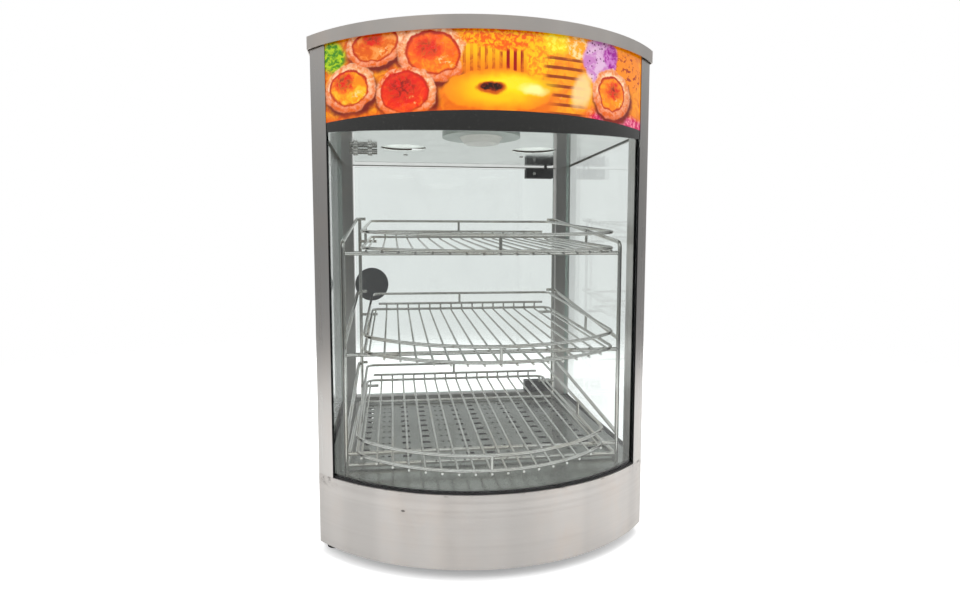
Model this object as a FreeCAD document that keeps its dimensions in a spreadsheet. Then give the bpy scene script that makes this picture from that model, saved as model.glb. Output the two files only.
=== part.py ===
import FreeCAD, Part
import math
import os
import re
import Sketcher

# Countertop hot food display case with a curved glass front and three wire shelves.
# Millimetres, +Z up, front faces -Y, +X to the right of somebody facing the front.
# Origin: centre of the footprint at the level the feet stand on.

os.makedirs("parts", exist_ok=True)
doc = FreeCAD.newDocument("HotFoodDisplayCase")
sheet = doc.addObject("Spreadsheet::Sheet", "Dimensions")

DRIVING = {
    "case_width": 400.0,        # outside of the two side faces
    "case_height": 600.0,       # feet to the top of the lid
    "arc_rise": 96.0,           # how far the curved front stands out from its chord
    "front_line": 145.0,        # chord of the curved front, this far in front of the origin
    "rear_face": 227.0,         # flat back, this far behind the origin
    "foot_height": 14.0,
    "base_top": 98.0,
    "sheet_gauge": 1.2,
    "ceiling_under": 503.0,     # underside of the polished ceiling
    "lid_skirt": 14.0,
    "lid_overhang": 3.0,
    "glass_gauge": 4.0,
    "glass_inset": 3.0,         # outer glass face behind the steel face
    "post_face": 18.0,          # sideways width of a front post
    "post_depth": 24.0,
    "rear_post_width": 24.6,
    "rear_post_depth": 26.0,
    "deck_gauge": 1.5,
    "door_gauge": 5.0,
    "door_middle": 211.5,       # mid plane of the door glass
    "door_half": 172.0,
    "door_bottom": 107.0,
    "door_top": 498.5,
    "pivot_across": 158.0,      # door pivot, to the right of the middle
    "pin_radius": 2.5,
    "shelf_pitch": 120.0,       # height from one shelf to the next
    "low_bar": 118.0,           # centre of the lowest shelf's front bar
    "rack_half": 168.0,         # uprights left and right of the middle
    "rack_front": 142.0,        # front uprights, this far in front of the origin
    "rack_rear": 180.0,         # rear uprights, this far behind the origin
    "upright_radius": 3.0,
    "rail_radius": 2.5,
    "shelf_half": 149.0,        # side wires of a shelf
    "shelf_tilt": 2.8,          # degrees, rear edge higher
    "ring_radius": 2.0,
    "floor_wire_radius": 1.4,
    "knob_radius": 18.0,
    "control_height": 57.0,     # knob, switches and lamp above the table
}
for row, (alias, number) in enumerate(DRIVING.items(), start=1):
    sheet.set("A%d" % row, alias)
    sheet.set("B%d" % row, str(number))
    sheet.setAlias("B%d" % row, alias)
doc.recompute()

DERIVED = {
    "arc_radius": "((case_width ^ 2 / 4 + arc_rise ^ 2) / (2 * arc_rise))",
    "arc_centre": "(((case_width ^ 2 / 4 + arc_rise ^ 2) / (2 * arc_rise)) - front_line - arc_rise)",
    "side": "(case_width / 2)",
}
NODES = []


def size(alias):
    return float(getattr(sheet, alias))


ARC_RADIUS = (size("case_width") ** 2 / 4 + size("arc_rise") ** 2) / (2 * size("arc_rise"))
ARC_CENTRE = ARC_RADIUS - size("front_line") - size("arc_rise")


def formula(text):
    """A readable formula with every alias spelled out for the spreadsheet."""
    text = str(text)
    for name, meaning in DERIVED.items():
        text = re.sub(r"\b%s\b" % name, meaning, text)
    for alias in DRIVING:
        text = re.sub(r"\b%s\b" % alias, "Dimensions." + alias, text)
    return text


def bind(item, **sizes):
    for name, text in sizes.items():
        item.setExpression(name.replace("__", "."), formula(text))
    return item


def place(item, x=0, y=0, z=0):
    return bind(item, Placement__Base__x=x, Placement__Base__y=y, Placement__Base__z=z)


def box(x, y, z):
    """Box from three (low, high) pairs of formulas."""
    item = doc.addObject("Part::Box", "Box")
    bind(item, Length="(%s) - (%s)" % (x[1], x[0]), Width="(%s) - (%s)" % (y[1], y[0]),
         Height="(%s) - (%s)" % (z[1], z[0]))
    return place(item, x[0], y[0], z[0])


def mirrored_box(side_sign, across, y, z):
    """Box given for the right side, or its mirror image on the left."""
    low, high = across
    if side_sign > 0:
        return box((low, high), y, z)
    return box(("-(%s)" % high, "-(%s)" % low), y, z)


def upright_cylinder(radius, z, x=0, y=0):
    item = doc.addObject("Part::Cylinder", "Cylinder")
    bind(item, Radius=radius, Height="(%s) - (%s)" % (z[1], z[0]))
    return place(item, x, y, z[0])


def cross_cylinder(radius, y, x=0, z=0):
    """Cylinder lying along +Y between two formulas."""
    item = doc.addObject("Part::Cylinder", "Cylinder")
    item.Placement.Rotation = FreeCAD.Rotation(FreeCAD.Vector(1, 0, 0), -90)
    bind(item, Radius=radius, Height="(%s) - (%s)" % (y[1], y[0]))
    return place(item, x, y[0], z)


def cone(low_radius, high_radius, z, x=0, y=0):
    item = doc.addObject("Part::Cone", "Cone")
    bind(item, Radius1=low_radius, Radius2=high_radius, Height="(%s) - (%s)" % (z[1], z[0]))
    return place(item, x, y, z[0])


def cut(base, *tools):
    tool = tools[0] if len(tools) == 1 else join(*tools)
    item = doc.addObject("Part::Cut", "Cut")
    item.Base = base
    item.Tool = tool
    return item


def join(*pieces):
    item = doc.addObject("Part::MultiFuse", "Fuse")
    item.Shapes = list(pieces)
    return item


def common(first, second):
    item = doc.addObject("Part::MultiCommon", "Common")
    item.Shapes = [first, second]
    return item


def group(*pieces):
    item = doc.addObject("Part::Compound", "Group")
    item.Links = list(pieces)
    return item


def node(name, item):
    item.Label = name
    NODES.append(item)
    return item


def feature(name, shape, placement=None):
    """A bent or swept piece that no primitive or body describes."""
    item = doc.addObject("Part::Feature", name)
    item.Shape = shape
    item.Placement = placement or FreeCAD.Placement()
    return node(name, item)


def drum(radius, z):
    """Upright cylinder on the axis of the curved front."""
    return upright_cylinder(radius, z, 0, "arc_centre")


def arc_band(outer, inner, across, z):
    """Curved sheet on the front's axis, between two radii and within two sideways limits."""
    ring = cut(drum(outer, z), drum(inner, (z[0] + " - 1", z[1] + " + 1")))
    reach = box(across, ("arc_centre - arc_radius - 5", "arc_centre"), z)
    return common(ring, reach)


def origin_plane(body, role):
    return [plane for plane in body.Origin.OriginFeatures if plane.Role == role][0]


def front_outline(body, name, inset, rear):
    """Sketch of the plan: two straight sides, a straight back and the curved front."""
    sketch = body.newObject("Sketcher::SketchObject", name)
    sketch.AttachmentSupport = [(origin_plane(body, "XY_Plane"), "")]
    sketch.MapMode = "FlatFace"
    radius, half, back = ARC_RADIUS, size("case_width") / 2, size("rear_face")
    corner = math.degrees(math.acos(half / radius))
    vector = FreeCAD.Vector
    left_front = vector(-half, ARC_CENTRE - math.sqrt(radius ** 2 - half ** 2), 0)
    right_front = vector(half, left_front.y, 0)
    circle = Part.Circle(vector(0, ARC_CENTRE, 0), vector(0, 0, 1), radius)
    sketch.addGeometry([
        Part.LineSegment(vector(-half, back, 0), left_front),
        Part.ArcOfCircle(circle, math.radians(180 + corner), math.radians(360 - corner)),
        Part.LineSegment(right_front, vector(half, back, 0)),
        Part.LineSegment(vector(half, back, 0), vector(-half, back, 0)),
    ], False)
    rule = Sketcher.Constraint
    sketch.addConstraint([
        rule("Coincident", 0, 2, 1, 1), rule("Coincident", 1, 2, 2, 1),
        rule("Coincident", 2, 2, 3, 1), rule("Coincident", 3, 2, 0, 1),
        rule("Vertical", 0), rule("Vertical", 2), rule("Horizontal", 3),
        rule("PointOnObject", 1, 3, -2),
    ])
    driven = [
        ("bow", rule("Radius", 1, radius), "arc_radius - (%s)" % inset),
        ("bow_centre", rule("DistanceY", -1, 1, 1, 3, ARC_CENTRE), "arc_centre"),
        ("right_side", rule("DistanceX", -1, 1, 2, 2, half), "side - (%s)" % inset),
        ("left_side", rule("DistanceX", 0, 1, -1, 1, half), "side - (%s)" % inset),
        ("back", rule("DistanceY", -1, 1, 3, 1, back), rear),
    ]
    for label, constraint, text in driven:
        index = sketch.addConstraint(constraint)
        sketch.renameConstraint(index, label)
        sketch.setExpression("Constraints." + label, formula(text))
    return sketch


def plan_plate(name, inset, rear, z):
    """Flat plate or block with the plan's outline."""
    body = doc.addObject("PartDesign::Body", name)
    sketch = front_outline(body, name + "_plan", inset, rear)
    pad = body.newObject("PartDesign::Pad", name + "_pad")
    pad.Profile = sketch
    bind(pad, Length="(%s) - (%s)" % (z[1], z[0]))
    body.Tip = pad
    return place(body, 0, 0, z[0])


def row_pattern(body, sketch_name, draw, count, pitch):
    """Pocket one row of holes through the body's plate and repeat it towards the rear."""
    sketch = body.newObject("Sketcher::SketchObject", sketch_name)
    sketch.AttachmentSupport = [(origin_plane(body, "XY_Plane"), "")]
    sketch.MapMode = "FlatFace"
    draw(sketch)
    doc.recompute()
    before = body.Shape.Volume
    pocket = body.newObject("PartDesign::Pocket", sketch_name + "_cut")
    pocket.Profile = sketch
    pocket.Type = 1
    pocket.Reversed = True
    doc.recompute()
    if not body.Shape.Volume < before - 1:
        raise RuntimeError(sketch_name + " removes nothing")
    pattern = body.newObject("PartDesign::LinearPattern", sketch_name + "_rows")
    pattern.Originals = [pocket]
    pattern.Direction = (origin_plane(body, "Y_Axis"), [""])
    pattern.Length = pitch * (count - 1)
    pattern.Occurrences = count
    body.Tip = pattern
    doc.recompute()
    return pattern


def bent_path(points, bend):
    """Straight runs joined by tangent arcs of one bend radius."""
    points = [FreeCAD.Vector(*point) for point in points]
    edges = []
    start = points[0]
    for before, corner, after in zip(points, points[1:], points[2:]):
        come = (before - corner).normalize()
        leave = (after - corner).normalize()
        half_angle = come.getAngle(leave) / 2
        setback = bend / math.tan(half_angle)
        entry = corner + come * setback
        leaving = corner + leave * setback
        centre = corner + (come + leave).normalize() * (bend / math.sin(half_angle))
        middle = centre + (corner - centre).normalize() * bend
        edges.append(Part.LineSegment(start, entry).toShape())
        edges.append(Part.Arc(entry, middle, leaving).toShape())
        start = leaving
    edges.append(Part.LineSegment(start, points[-1]).toShape())
    return Part.Wire(edges)


def rod_along(path, radius):
    """Round rod whose middle follows a path."""
    first = path.OrderedEdges[0] if hasattr(path, "OrderedEdges") else path.Edges[0]
    start = first.valueAt(first.FirstParameter)
    heading = first.tangentAt(first.FirstParameter)
    profile = Part.Wire([Part.Circle(start, heading, radius).toShape()])
    rod = path.makePipeShell([profile], True, False)
    expected = math.pi * radius ** 2 * path.Length
    if abs(rod.Volume - expected) > 0.03 * expected:
        raise RuntimeError("rod volume %.1f, expected %.1f" % (rod.Volume, expected))
    return rod


def straight_rod(start, end, radius):
    start = FreeCAD.Vector(*start)
    run = FreeCAD.Vector(*end) - start
    return Part.makeCylinder(radius, run.Length, start, run)


def weld(rods):
    return rods[0].multiFuse(rods[1:]).removeSplitter()


# ---------------------------------------------------------------- base
shell_outer = plan_plate("plinth_outer", "0", "rear_face", ("foot_height", "base_top"))
shell_inner = plan_plate("plinth_inner", "sheet_gauge", "rear_face - sheet_gauge",
                         ("foot_height - 1", "base_top - sheet_gauge"))
shell_mouth = plan_plate("plinth_mouth", "14", "rear_face - 40", ("base_top - 5", "base_top + 1"))
control_window = box(("-165", "165"), ("rear_face - 5", "rear_face + 5"), ("24", "90"))
PANEL_SCREWS = [(across, up) for across in (-168, 0, 168) for up in (21, 93)]
panel_screw_holes = [cross_cylinder("1.7", ("rear_face - 6", "rear_face + 2"), x, z)
                     for x, z in PANEL_SCREWS]
sill_slot = box(("-175.1", "175.1"), ("rear_face - rear_post_depth - 0.1", "rear_face - sheet_gauge - 0.1"),
                ("base_top - 3", "base_top + 1"))
node("base_plinth_shell", cut(shell_outer, shell_inner, shell_mouth, control_window, sill_slot,
                              *panel_screw_holes))

FOOT_PLACES = [(across, along) for across in (-184, 184) for along in (-128, 208)]
pan = plan_plate("pan_blank", "sheet_gauge + 0.2", "rear_face - sheet_gauge - 0.2",
                 ("foot_height", "foot_height + sheet_gauge"))
pan_holes = [upright_cylinder("2.2", ("foot_height - 1", "foot_height + 3"), x, y) for x, y in FOOT_PLACES]
pan_vents = [box((str(x), str(x + 5)), ("-60", "20"), ("foot_height - 1", "foot_height + 3"))
             for x in range(-60, 61, 15)]
node("base_bottom_pan", cut(pan, *pan_holes, *pan_vents))

feet = []
for x, y in FOOT_PLACES:
    foot = cone("9.5", "11", ("0", "foot_height"), x, y)
    bore = upright_cylinder("2.2", ("3", "foot_height + 1"), x, y)
    recess = upright_cylinder("5", ("-1", "4"), x, y)
    feet.append(cut(foot, bore, recess))
node("rubber_feet", group(*feet))

panel_plate = box(("-173", "173"), ("rear_face - 2.5", "rear_face - 1.3"), ("17", "96"))
KNOB_X, POWER_X, LAMP_X, PILOT_X, GLAND_X = -70, 0, 34, 66, 130
PANEL_BACK = "rear_face - 2.5"
PANEL_FRONT = "rear_face - 1.3"
panel_openings = [cross_cylinder("5", ("rear_face - 6", "rear_face"), KNOB_X, "control_height")]
for x in (POWER_X, LAMP_X):
    panel_openings.append(box((str(x - 7.6), str(x + 7.6)), ("rear_face - 6", "rear_face"),
                              ("control_height - 13.1", "control_height + 13.1")))
panel_openings.append(cross_cylinder("4.2", ("rear_face - 6", "rear_face"), PILOT_X, "control_height"))
panel_openings.append(cross_cylinder("6.2", ("rear_face - 6", "rear_face"), GLAND_X, "control_height"))
panel_openings += [cross_cylinder("1.7", ("rear_face - 6", "rear_face"), x, z) for x, z in PANEL_SCREWS]
panel_openings += [box((str(x), str(x + 3)), ("rear_face - 6", "rear_face"), ("34", "80"))
                   for x in range(-150, -108, 8)]
node("base_rear_panel", cut(panel_plate, *panel_openings))

deck = doc.addObject("PartDesign::Body", "deck_blank")
deck_sketch = front_outline(deck, "deck_plan", "9.2", "rear_face - rear_post_depth - 0.3")
deck_pad = deck.newObject("PartDesign::Pad", "deck_pad")
deck_pad.Profile = deck_sketch
bind(deck_pad, Length="deck_gauge")
deck.Tip = deck_pad
place(deck, 0, 0, "base_top")
PERF_STEP = 27.0               # columns and rows of the perforation
PERF_ROWS = 10
FIRST_ROW = -102.0
SLOT_ACROSS = 11.0
SLOT_ALONG = 8.5
DOT_RADIUS = 2.4
DOT_OFFSET = 4.3               # each dot of a pair, left and right of its column
SLOT_COLUMNS = [side_sign * step * PERF_STEP for step in (0.5, 2.5, 3.5, 5.5) for side_sign in (-1, 1)]
DOT_COLUMNS = [side_sign * step * PERF_STEP for step in (1.5, 4.5) for side_sign in (-1, 1)]


def slot_row(sketch):
    low, high = FIRST_ROW - SLOT_ALONG / 2, FIRST_ROW + SLOT_ALONG / 2
    for x in SLOT_COLUMNS:
        west, east = x - SLOT_ACROSS / 2, x + SLOT_ACROSS / 2
        corners = [(west, low), (east, low), (east, high), (west, high)]
        for (x0, y0), (x1, y1) in zip(corners, corners[1:] + corners[:1]):
            start, end = FreeCAD.Vector(x0, y0, 0), FreeCAD.Vector(x1, y1, 0)
            sketch.addGeometry(Part.LineSegment(start, end), False)


def dot_row(sketch):
    for x in DOT_COLUMNS:
        for offset in (-DOT_OFFSET, DOT_OFFSET):
            centre = FreeCAD.Vector(x + offset, FIRST_ROW, 0)
            sketch.addGeometry(Part.Circle(centre, FreeCAD.Vector(0, 0, 1), DOT_RADIUS), False)


row_pattern(deck, "deck_slots", slot_row, PERF_ROWS, PERF_STEP)
row_pattern(deck, "deck_dots", dot_row, PERF_ROWS, PERF_STEP)
deck_notches = [mirrored_box(side_sign, ("side - post_face + 2", "side + 5"),
                             ("-front_line - 60", "-front_line + post_depth + 0.2"),
                             ("base_top - 1", "base_top + 4"))
                for side_sign in (-1, 1)]
node("deck_plate", cut(deck, *deck_notches))

sill_outer = box(("-175", "175"), ("rear_face - rear_post_depth", "rear_face - sheet_gauge - 0.2"),
                 ("base_top - 2", "base_top + 7"))
sill_hollow = box(("-173.8", "173.8"),
                  ("rear_face - rear_post_depth + sheet_gauge", "rear_face - 2 * sheet_gauge - 0.2"),
                  ("base_top - 5", "base_top + 7 - sheet_gauge"))
sill_bore = upright_cylinder("4", ("base_top - 5", "base_top + 9"), "pivot_across", "door_middle")
node("rear_sill", cut(sill_outer, sill_hollow, sill_bore))

# ---------------------------------------------------------------- heating, under the deck
shield_outer = box(("-150", "150"), ("-125", "165"), ("62", "base_top"))
shield_inner = box(("-150 + sheet_gauge", "150 - sheet_gauge"), ("-130", "170"),
                   ("62 + sheet_gauge", "base_top + 1"))
saddles = [box(("-120", "120"), (str(y), str(y + 5)), ("62", "75.9")) for y in (-55, 95)]
node("heat_shield", join(cut(shield_outer, shield_inner), *saddles))
HEATER_Z = 80.0
heater_path = [(-90, 160, HEATER_Z), (-90, -75, HEATER_Z), (-30, -75, HEATER_Z), (-30, 125, HEATER_Z),
               (30, 125, HEATER_Z), (30, -75, HEATER_Z), (90, -75, HEATER_Z), (90, 160, HEATER_Z)]
feature("heating_element", rod_along(bent_path(heater_path, 26), 4.0))

KNOB = str(KNOB_X)
thermostat_case = box((KNOB + " - 19", KNOB + " + 19"), ("rear_face - 36", PANEL_BACK),
                      ("control_height - 19", "control_height + 19"))
thermostat_bore = cross_cylinder("3.06", ("rear_face - 16", "rear_face"), KNOB_X, "control_height")
node("thermostat_body", cut(thermostat_case, thermostat_bore))
knob_skirt = cross_cylinder("knob_radius", ("rear_face - 0.8", "rear_face + 4"), KNOB_X, "control_height")
knob_grip = cross_cylinder("knob_radius - 4", ("rear_face + 3", "rear_face + 17"), KNOB_X, "control_height")
knob_shaft = cross_cylinder("3", ("rear_face - 15.5", "rear_face"), KNOB_X, "control_height")
knob_flat_left = box((KNOB + " - 20", KNOB + " - 5"), ("rear_face + 7", "rear_face + 18"),
                     ("control_height - 20", "control_height + 20"))
knob_flat_right = box((KNOB + " + 5", KNOB + " + 20"), ("rear_face + 7", "rear_face + 18"),
                      ("control_height - 20", "control_height + 20"))
node("thermostat_knob", cut(join(knob_skirt, knob_grip, knob_shaft), knob_flat_left, knob_flat_right))


ROCKER_TILT = 9.0              # degrees either side of upright


def rocker_switch(name, across):
    """Snap-in rocker switch: a frame with a socket, and the rocker that tilts in it."""
    x = str(across)
    body = box((x + " - 7.5", x + " + 7.5"), ("rear_face - 22", PANEL_FRONT),
               ("control_height - 13", "control_height + 13"))
    flange = box((x + " - 9.5", x + " + 9.5"), (PANEL_FRONT, "rear_face + 0.8"),
                 ("control_height - 15", "control_height + 15"))
    socket = box((x + " - 6.3", x + " + 6.3"), ("rear_face - 9", "rear_face + 3"),
                 ("control_height - 11.5", "control_height + 11.5"))
    node(name + "_housing", cut(join(body, flange), socket))
    half = FreeCAD.Vector(6.0, 3.4, 10.2)
    paddle = Part.makeBox(2 * half.x, 2 * half.y, 2 * half.z, half * -1)
    pivot = FreeCAD.Vector(across, size("rear_face"), size("control_height"))
    rest_tilt = FreeCAD.Rotation(FreeCAD.Vector(1, 0, 0), ROCKER_TILT)
    feature(name + "_rocker", paddle, FreeCAD.Placement(pivot, rest_tilt))


rocker_switch("power_switch", POWER_X)
rocker_switch("lamp_switch", LAMP_X)
pilot_lens = cross_cylinder("6", (PANEL_FRONT, "rear_face + 3"), PILOT_X, "control_height")
pilot_body = cross_cylinder("4", ("rear_face - 20", PANEL_FRONT), PILOT_X, "control_height")
node("indicator_lamp", join(pilot_lens, pilot_body))
gland_nut = cross_cylinder("10", (PANEL_FRONT, "rear_face + 6"), GLAND_X, "control_height")
gland_dome = cross_cylinder("7.5", ("rear_face + 6", "rear_face + 12"), GLAND_X, "control_height")
gland_body = cross_cylinder("6", ("rear_face - 12", PANEL_FRONT), GLAND_X, "control_height")
gland_bore = cross_cylinder("3.5", ("rear_face - 14", "rear_face + 14"), GLAND_X, "control_height")
node("cable_gland", cut(join(gland_nut, gland_dome, gland_body), gland_bore))
block = box(("95", "145"), ("150", "170"), ("foot_height + sheet_gauge", "34"))
block_wells = [upright_cylinder("2.5", ("26", "36"), x, "160") for x in (104, 114, 126, 136)]
node("terminal_block", cut(block, *block_wells))


# ---------------------------------------------------------------- posts, glass and seals
def front_post(name, mirror):
    """Bent sheet post whose face carries on the curve of the front."""
    def span(low, high):
        if mirror > 0:
            return ("side - (%s)" % low, "side - (%s)" % high)
        return ("-(side - (%s))" % high, "-(side - (%s))" % low)

    height = ("base_top", "case_height - 1")
    reach = ("-front_line - 40", "-front_line + post_depth")
    tube = common(drum("arc_radius", height), box(span("post_face - 2.5", "0"), reach, height))
    lip = common(cut(drum("arc_radius", height), drum("arc_radius - sheet_gauge", height)),
                 box(span("post_face", "post_face - 3"), reach, height))
    hollow = common(drum("arc_radius - sheet_gauge", height),
                    box(span("post_face - 2.5 - sheet_gauge", "sheet_gauge"),
                        ("-front_line - 40", "-front_line + post_depth - sheet_gauge"), height))
    node(name, cut(join(tube, lip), hollow))


front_post("front_post_left", -1)
front_post("front_post_right", 1)


def rear_post(name, side_sign):
    height = ("base_top", "case_height - 1")
    outer = mirrored_box(side_sign, ("side - rear_post_width", "side"),
                         ("rear_face - rear_post_depth", "rear_face"), height)
    bore = mirrored_box(side_sign, ("side - rear_post_width + sheet_gauge", "side - sheet_gauge"),
                        ("rear_face - rear_post_depth + sheet_gauge", "rear_face - sheet_gauge"), height)
    node(name, cut(outer, bore))


rear_post("rear_post_left", -1)
rear_post("rear_post_right", 1)

GLASS_OUT = "arc_radius - glass_inset"
GLASS_IN = "arc_radius - glass_inset - glass_gauge"
GLASS_FOOT = "base_top + sheet_gauge"
node("front_glass", arc_band(GLASS_OUT, GLASS_IN, ("-183", "183"), (GLASS_FOOT, "ceiling_under + 7")))
for label, side_sign in (("side_glass_left", -1), ("side_glass_right", 1)):
    node(label, mirrored_box(side_sign, ("side - glass_inset - glass_gauge", "side - glass_inset"),
                             ("-front_line + post_depth + 0.2", "rear_face - rear_post_depth - 0.2"),
                             (GLASS_FOOT, "ceiling_under + 7")))

GASKET_TOP = "base_top + 2.2"
gasket = arc_band("arc_radius - 2.2", "arc_radius - 7.8", ("-184.3", "184.3"), ("base_top", GASKET_TOP))
gasket_groove = arc_band(GLASS_OUT + " + 0.05", GLASS_IN + " - 0.05", ("-183.2", "183.2"),
                         (GLASS_FOOT, GASKET_TOP + " + 1"))
node("front_glass_gasket", cut(gasket, gasket_groove))
seals = []
for low, high, groove in (("-184.3", "-180.6", ("-183.2", "-170")), ("180.6", "184.3", ("170", "183.2"))):
    tall = (GASKET_TOP + " + 0.1", "ceiling_under - 0.2")
    seals.append(cut(arc_band("arc_radius - 1.4", "arc_radius - 9", (low, high), tall),
                     arc_band(GLASS_OUT + " + 0.05", GLASS_IN + " - 0.05", groove,
                              ("base_top", "ceiling_under + 1"))))
seal_relief = arc_band("arc_radius", "arc_radius - 2.95", ("-181.9", "181.9"),
                       ("ceiling_under - 20", "ceiling_under + 5"))
node("front_glass_side_seals", cut(group(*seals), seal_relief))
side_gaskets = []
for side_sign in (-1, 1):
    strip = mirrored_box(side_sign, ("side - glass_inset - glass_gauge - 1.8", "side - 1.4"),
                         ("-front_line + post_depth + 0.2", "rear_face - rear_post_depth - 0.2"),
                         ("base_top", GASKET_TOP))
    groove_across = ("side - glass_inset - glass_gauge - 0.02", "side - glass_inset + 0.02")
    groove = mirrored_box(side_sign, groove_across, ("-front_line", "rear_face"),
                          (GLASS_FOOT, GASKET_TOP + " + 1"))
    side_gaskets.append(cut(strip, groove))
node("side_glass_gaskets", group(*side_gaskets))

# ---------------------------------------------------------------- ceiling and lamp
LAMP_Y = "-107"
VENT_PLACES = [(-93.5, 13.5), (93.5, 13.5)]
CEILING_SCREWS = [(-89, 84.6), (89, 84.6)]
ceiling_blank = plan_plate("ceiling_blank", "9.5", "rear_face - sheet_gauge - 0.2",
                           ("ceiling_under", "ceiling_under + sheet_gauge"))
THROUGH_CEILING = ("ceiling_under - 1", "ceiling_under + 3")
ceiling_cuts = [upright_cylinder("40", THROUGH_CEILING, 0, LAMP_Y)]
ceiling_cuts += [upright_cylinder("31.5", THROUGH_CEILING, x, y) for x, y in VENT_PLACES]
ceiling_cuts += [upright_cylinder("1.7", THROUGH_CEILING, x, y) for x, y in CEILING_SCREWS]
ceiling_cuts.append(upright_cylinder("4", THROUGH_CEILING, "pivot_across", "door_middle"))
for side_sign in (-1, 1):
    rear_notch = (("side - rear_post_width - 0.2", "side + 5"),
                  ("rear_face - rear_post_depth - 0.2", "rear_face + 5"))
    front_notch = (("side - post_face + 2", "side + 5"),
                   ("-front_line - 60", "-front_line + post_depth + 0.2"))
    ceiling_cuts.append(mirrored_box(side_sign, *rear_notch, THROUGH_CEILING))
    ceiling_cuts.append(mirrored_box(side_sign, *front_notch, THROUGH_CEILING))
node("ceiling_plate", cut(ceiling_blank, *ceiling_cuts))
vent_pans = []
for x, y in VENT_PLACES:
    disc = upright_cylinder("37", ("ceiling_under + 4.4", "ceiling_under + 5.4"), x, y)
    studs = [upright_cylinder("2", ("ceiling_under + sheet_gauge", "ceiling_under + 4.4"), x + step, y)
             for step in (-34.5, 34.5)]
    vent_pans.append(join(disc, *studs))
node("ceiling_vent_pans", group(*vent_pans))
bezel_ring = upright_cylinder("48", ("ceiling_under - 3.5", "ceiling_under"), 0, LAMP_Y)
bezel_neck = upright_cylinder("39.5", ("ceiling_under - 1", "ceiling_under + 4"), 0, LAMP_Y)
bezel_bore = upright_cylinder("27.2", ("ceiling_under - 5", "ceiling_under + 5"), 0, LAMP_Y)
node("lamp_bezel", cut(join(bezel_ring, bezel_neck), bezel_bore))
lens_rim = upright_cylinder("27", ("ceiling_under - 3", "ceiling_under + 3"), 0, LAMP_Y)
lens_face = cone("21", "27", ("ceiling_under - 11", "ceiling_under - 3"), 0, LAMP_Y)
node("lamp_lens", join(lens_rim, lens_face))
bulb_glass = doc.addObject("Part::Sphere", "Sphere")
bind(bulb_glass, Radius="19")
place(bulb_glass, 0, LAMP_Y, "ceiling_under + 26")
bulb_neck = upright_cylinder("9", ("ceiling_under + 40", "ceiling_under + 56"), 0, LAMP_Y)
node("lamp_bulb", join(bulb_glass, bulb_neck))
holder_cup = cut(upright_cylinder("13", ("ceiling_under + 47", "ceiling_under + 76"), 0, LAMP_Y),
                 upright_cylinder("9.1", ("ceiling_under + 46", "ceiling_under + 56.1"), 0, LAMP_Y))
HOLDER_BREADTH = (LAMP_Y + " - 10", LAMP_Y + " + 10")
holder_arm = box(("-12", "60"), HOLDER_BREADTH, ("ceiling_under + 76", "ceiling_under + 77.2"))
holder_leg = box(("58.8", "60"), HOLDER_BREADTH, ("ceiling_under + sheet_gauge", "ceiling_under + 76.5"))
node("lamp_holder", join(holder_cup, holder_arm, holder_leg))

SENSOR = (-149.0, 23.0, 4.6)
sensor_drop = size("ceiling_under") - SENSOR[2]
SENSOR_HALF = 19
feature("thermostat_sensor_bulb",
        straight_rod((SENSOR[0] - SENSOR_HALF, SENSOR[1], sensor_drop),
                     (SENSOR[0] + SENSOR_HALF, SENSOR[1], sensor_drop), 4.0))
clips = []
for across in (-11, 9):
    x = SENSOR[0] + across
    ring = straight_rod((x - 3, SENSOR[1], sensor_drop), (x + 3, SENSOR[1], sensor_drop), 6.0)
    hole = straight_rod((x - 4, SENSOR[1], sensor_drop), (x + 4, SENSOR[1], sensor_drop), 4.05)
    above = Part.makeBox(10, 20, 10, FreeCAD.Vector(x - 5, SENSOR[1] - 10, size("ceiling_under")))
    clips.append(ring.cut(hole).cut(above))
feature("sensor_bulb_clips", Part.makeCompound(clips))

# ---------------------------------------------------------------- canopy and lid
CREST = 506.0                   # top of the dark trim at the middle
TRIM_LOW = 485.0                # its lower edge at the middle
CREST_RADIUS = 4600.0           # very slight bow of the two edges
TRIM_LOW_RADIUS = 2300.0
FACE = ("-side + post_face + 0.2", "side - post_face - 0.2")
FRONT_REACH = ("-front_line - 120", "-front_line + 40")
crest = cross_cylinder(str(CREST_RADIUS), FRONT_REACH, 0, str(CREST - CREST_RADIUS))
crest_clear = cross_cylinder(str(CREST_RADIUS + 0.1), FRONT_REACH, 0, str(CREST - CREST_RADIUS))
trim_bow = cross_cylinder(str(TRIM_LOW_RADIUS), FRONT_REACH, 0, str(TRIM_LOW + TRIM_LOW_RADIUS))
trim_band = arc_band("arc_radius - 0.5", "arc_radius - 2.9", FACE, ("475", "515"))
node("canopy_lower_trim", common(common(trim_band, crest), trim_bow))
graphic_band = arc_band("arc_radius - 0.8", "arc_radius - 2.8", FACE, ("495", "case_height - 8"))
node("canopy_graphic_panel", cut(graphic_band, crest_clear))
light_strips = [arc_band("arc_radius - 30", "arc_radius - 31.6", across,
                         ("ceiling_under + sheet_gauge", "ceiling_under + 56"))
                for across in (("-150", "-62"), ("62", "150"))]
node("canopy_light_strips", group(*light_strips))
side_panels = [mirrored_box(side_sign, ("side - sheet_gauge", "side"),
                            ("-front_line + post_depth + 0.1", "rear_face - rear_post_depth - 0.1"),
                            ("ceiling_under", "case_height - 1"))
               for side_sign in (-1, 1)]
node("canopy_side_panels", group(*side_panels))
HEADER_SCREWS = [(across, "case_height - 40") for across in (-150, 150)]
header_holes = [cross_cylinder("1.7", ("rear_face - 5", "rear_face + 5"), x, z) for x, z in HEADER_SCREWS]
header = box(("-side + rear_post_width + 0.1", "side - rear_post_width - 0.1"),
             ("rear_face - sheet_gauge", "rear_face"), ("ceiling_under - 1", "case_height - 1"))
header_vents = [box((str(x), str(x + 30)), ("rear_face - 5", "rear_face + 5"), (str(z), str(z + 3)))
                for x in (-75, -15, 45) for z in (530, 538, 546)]
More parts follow.
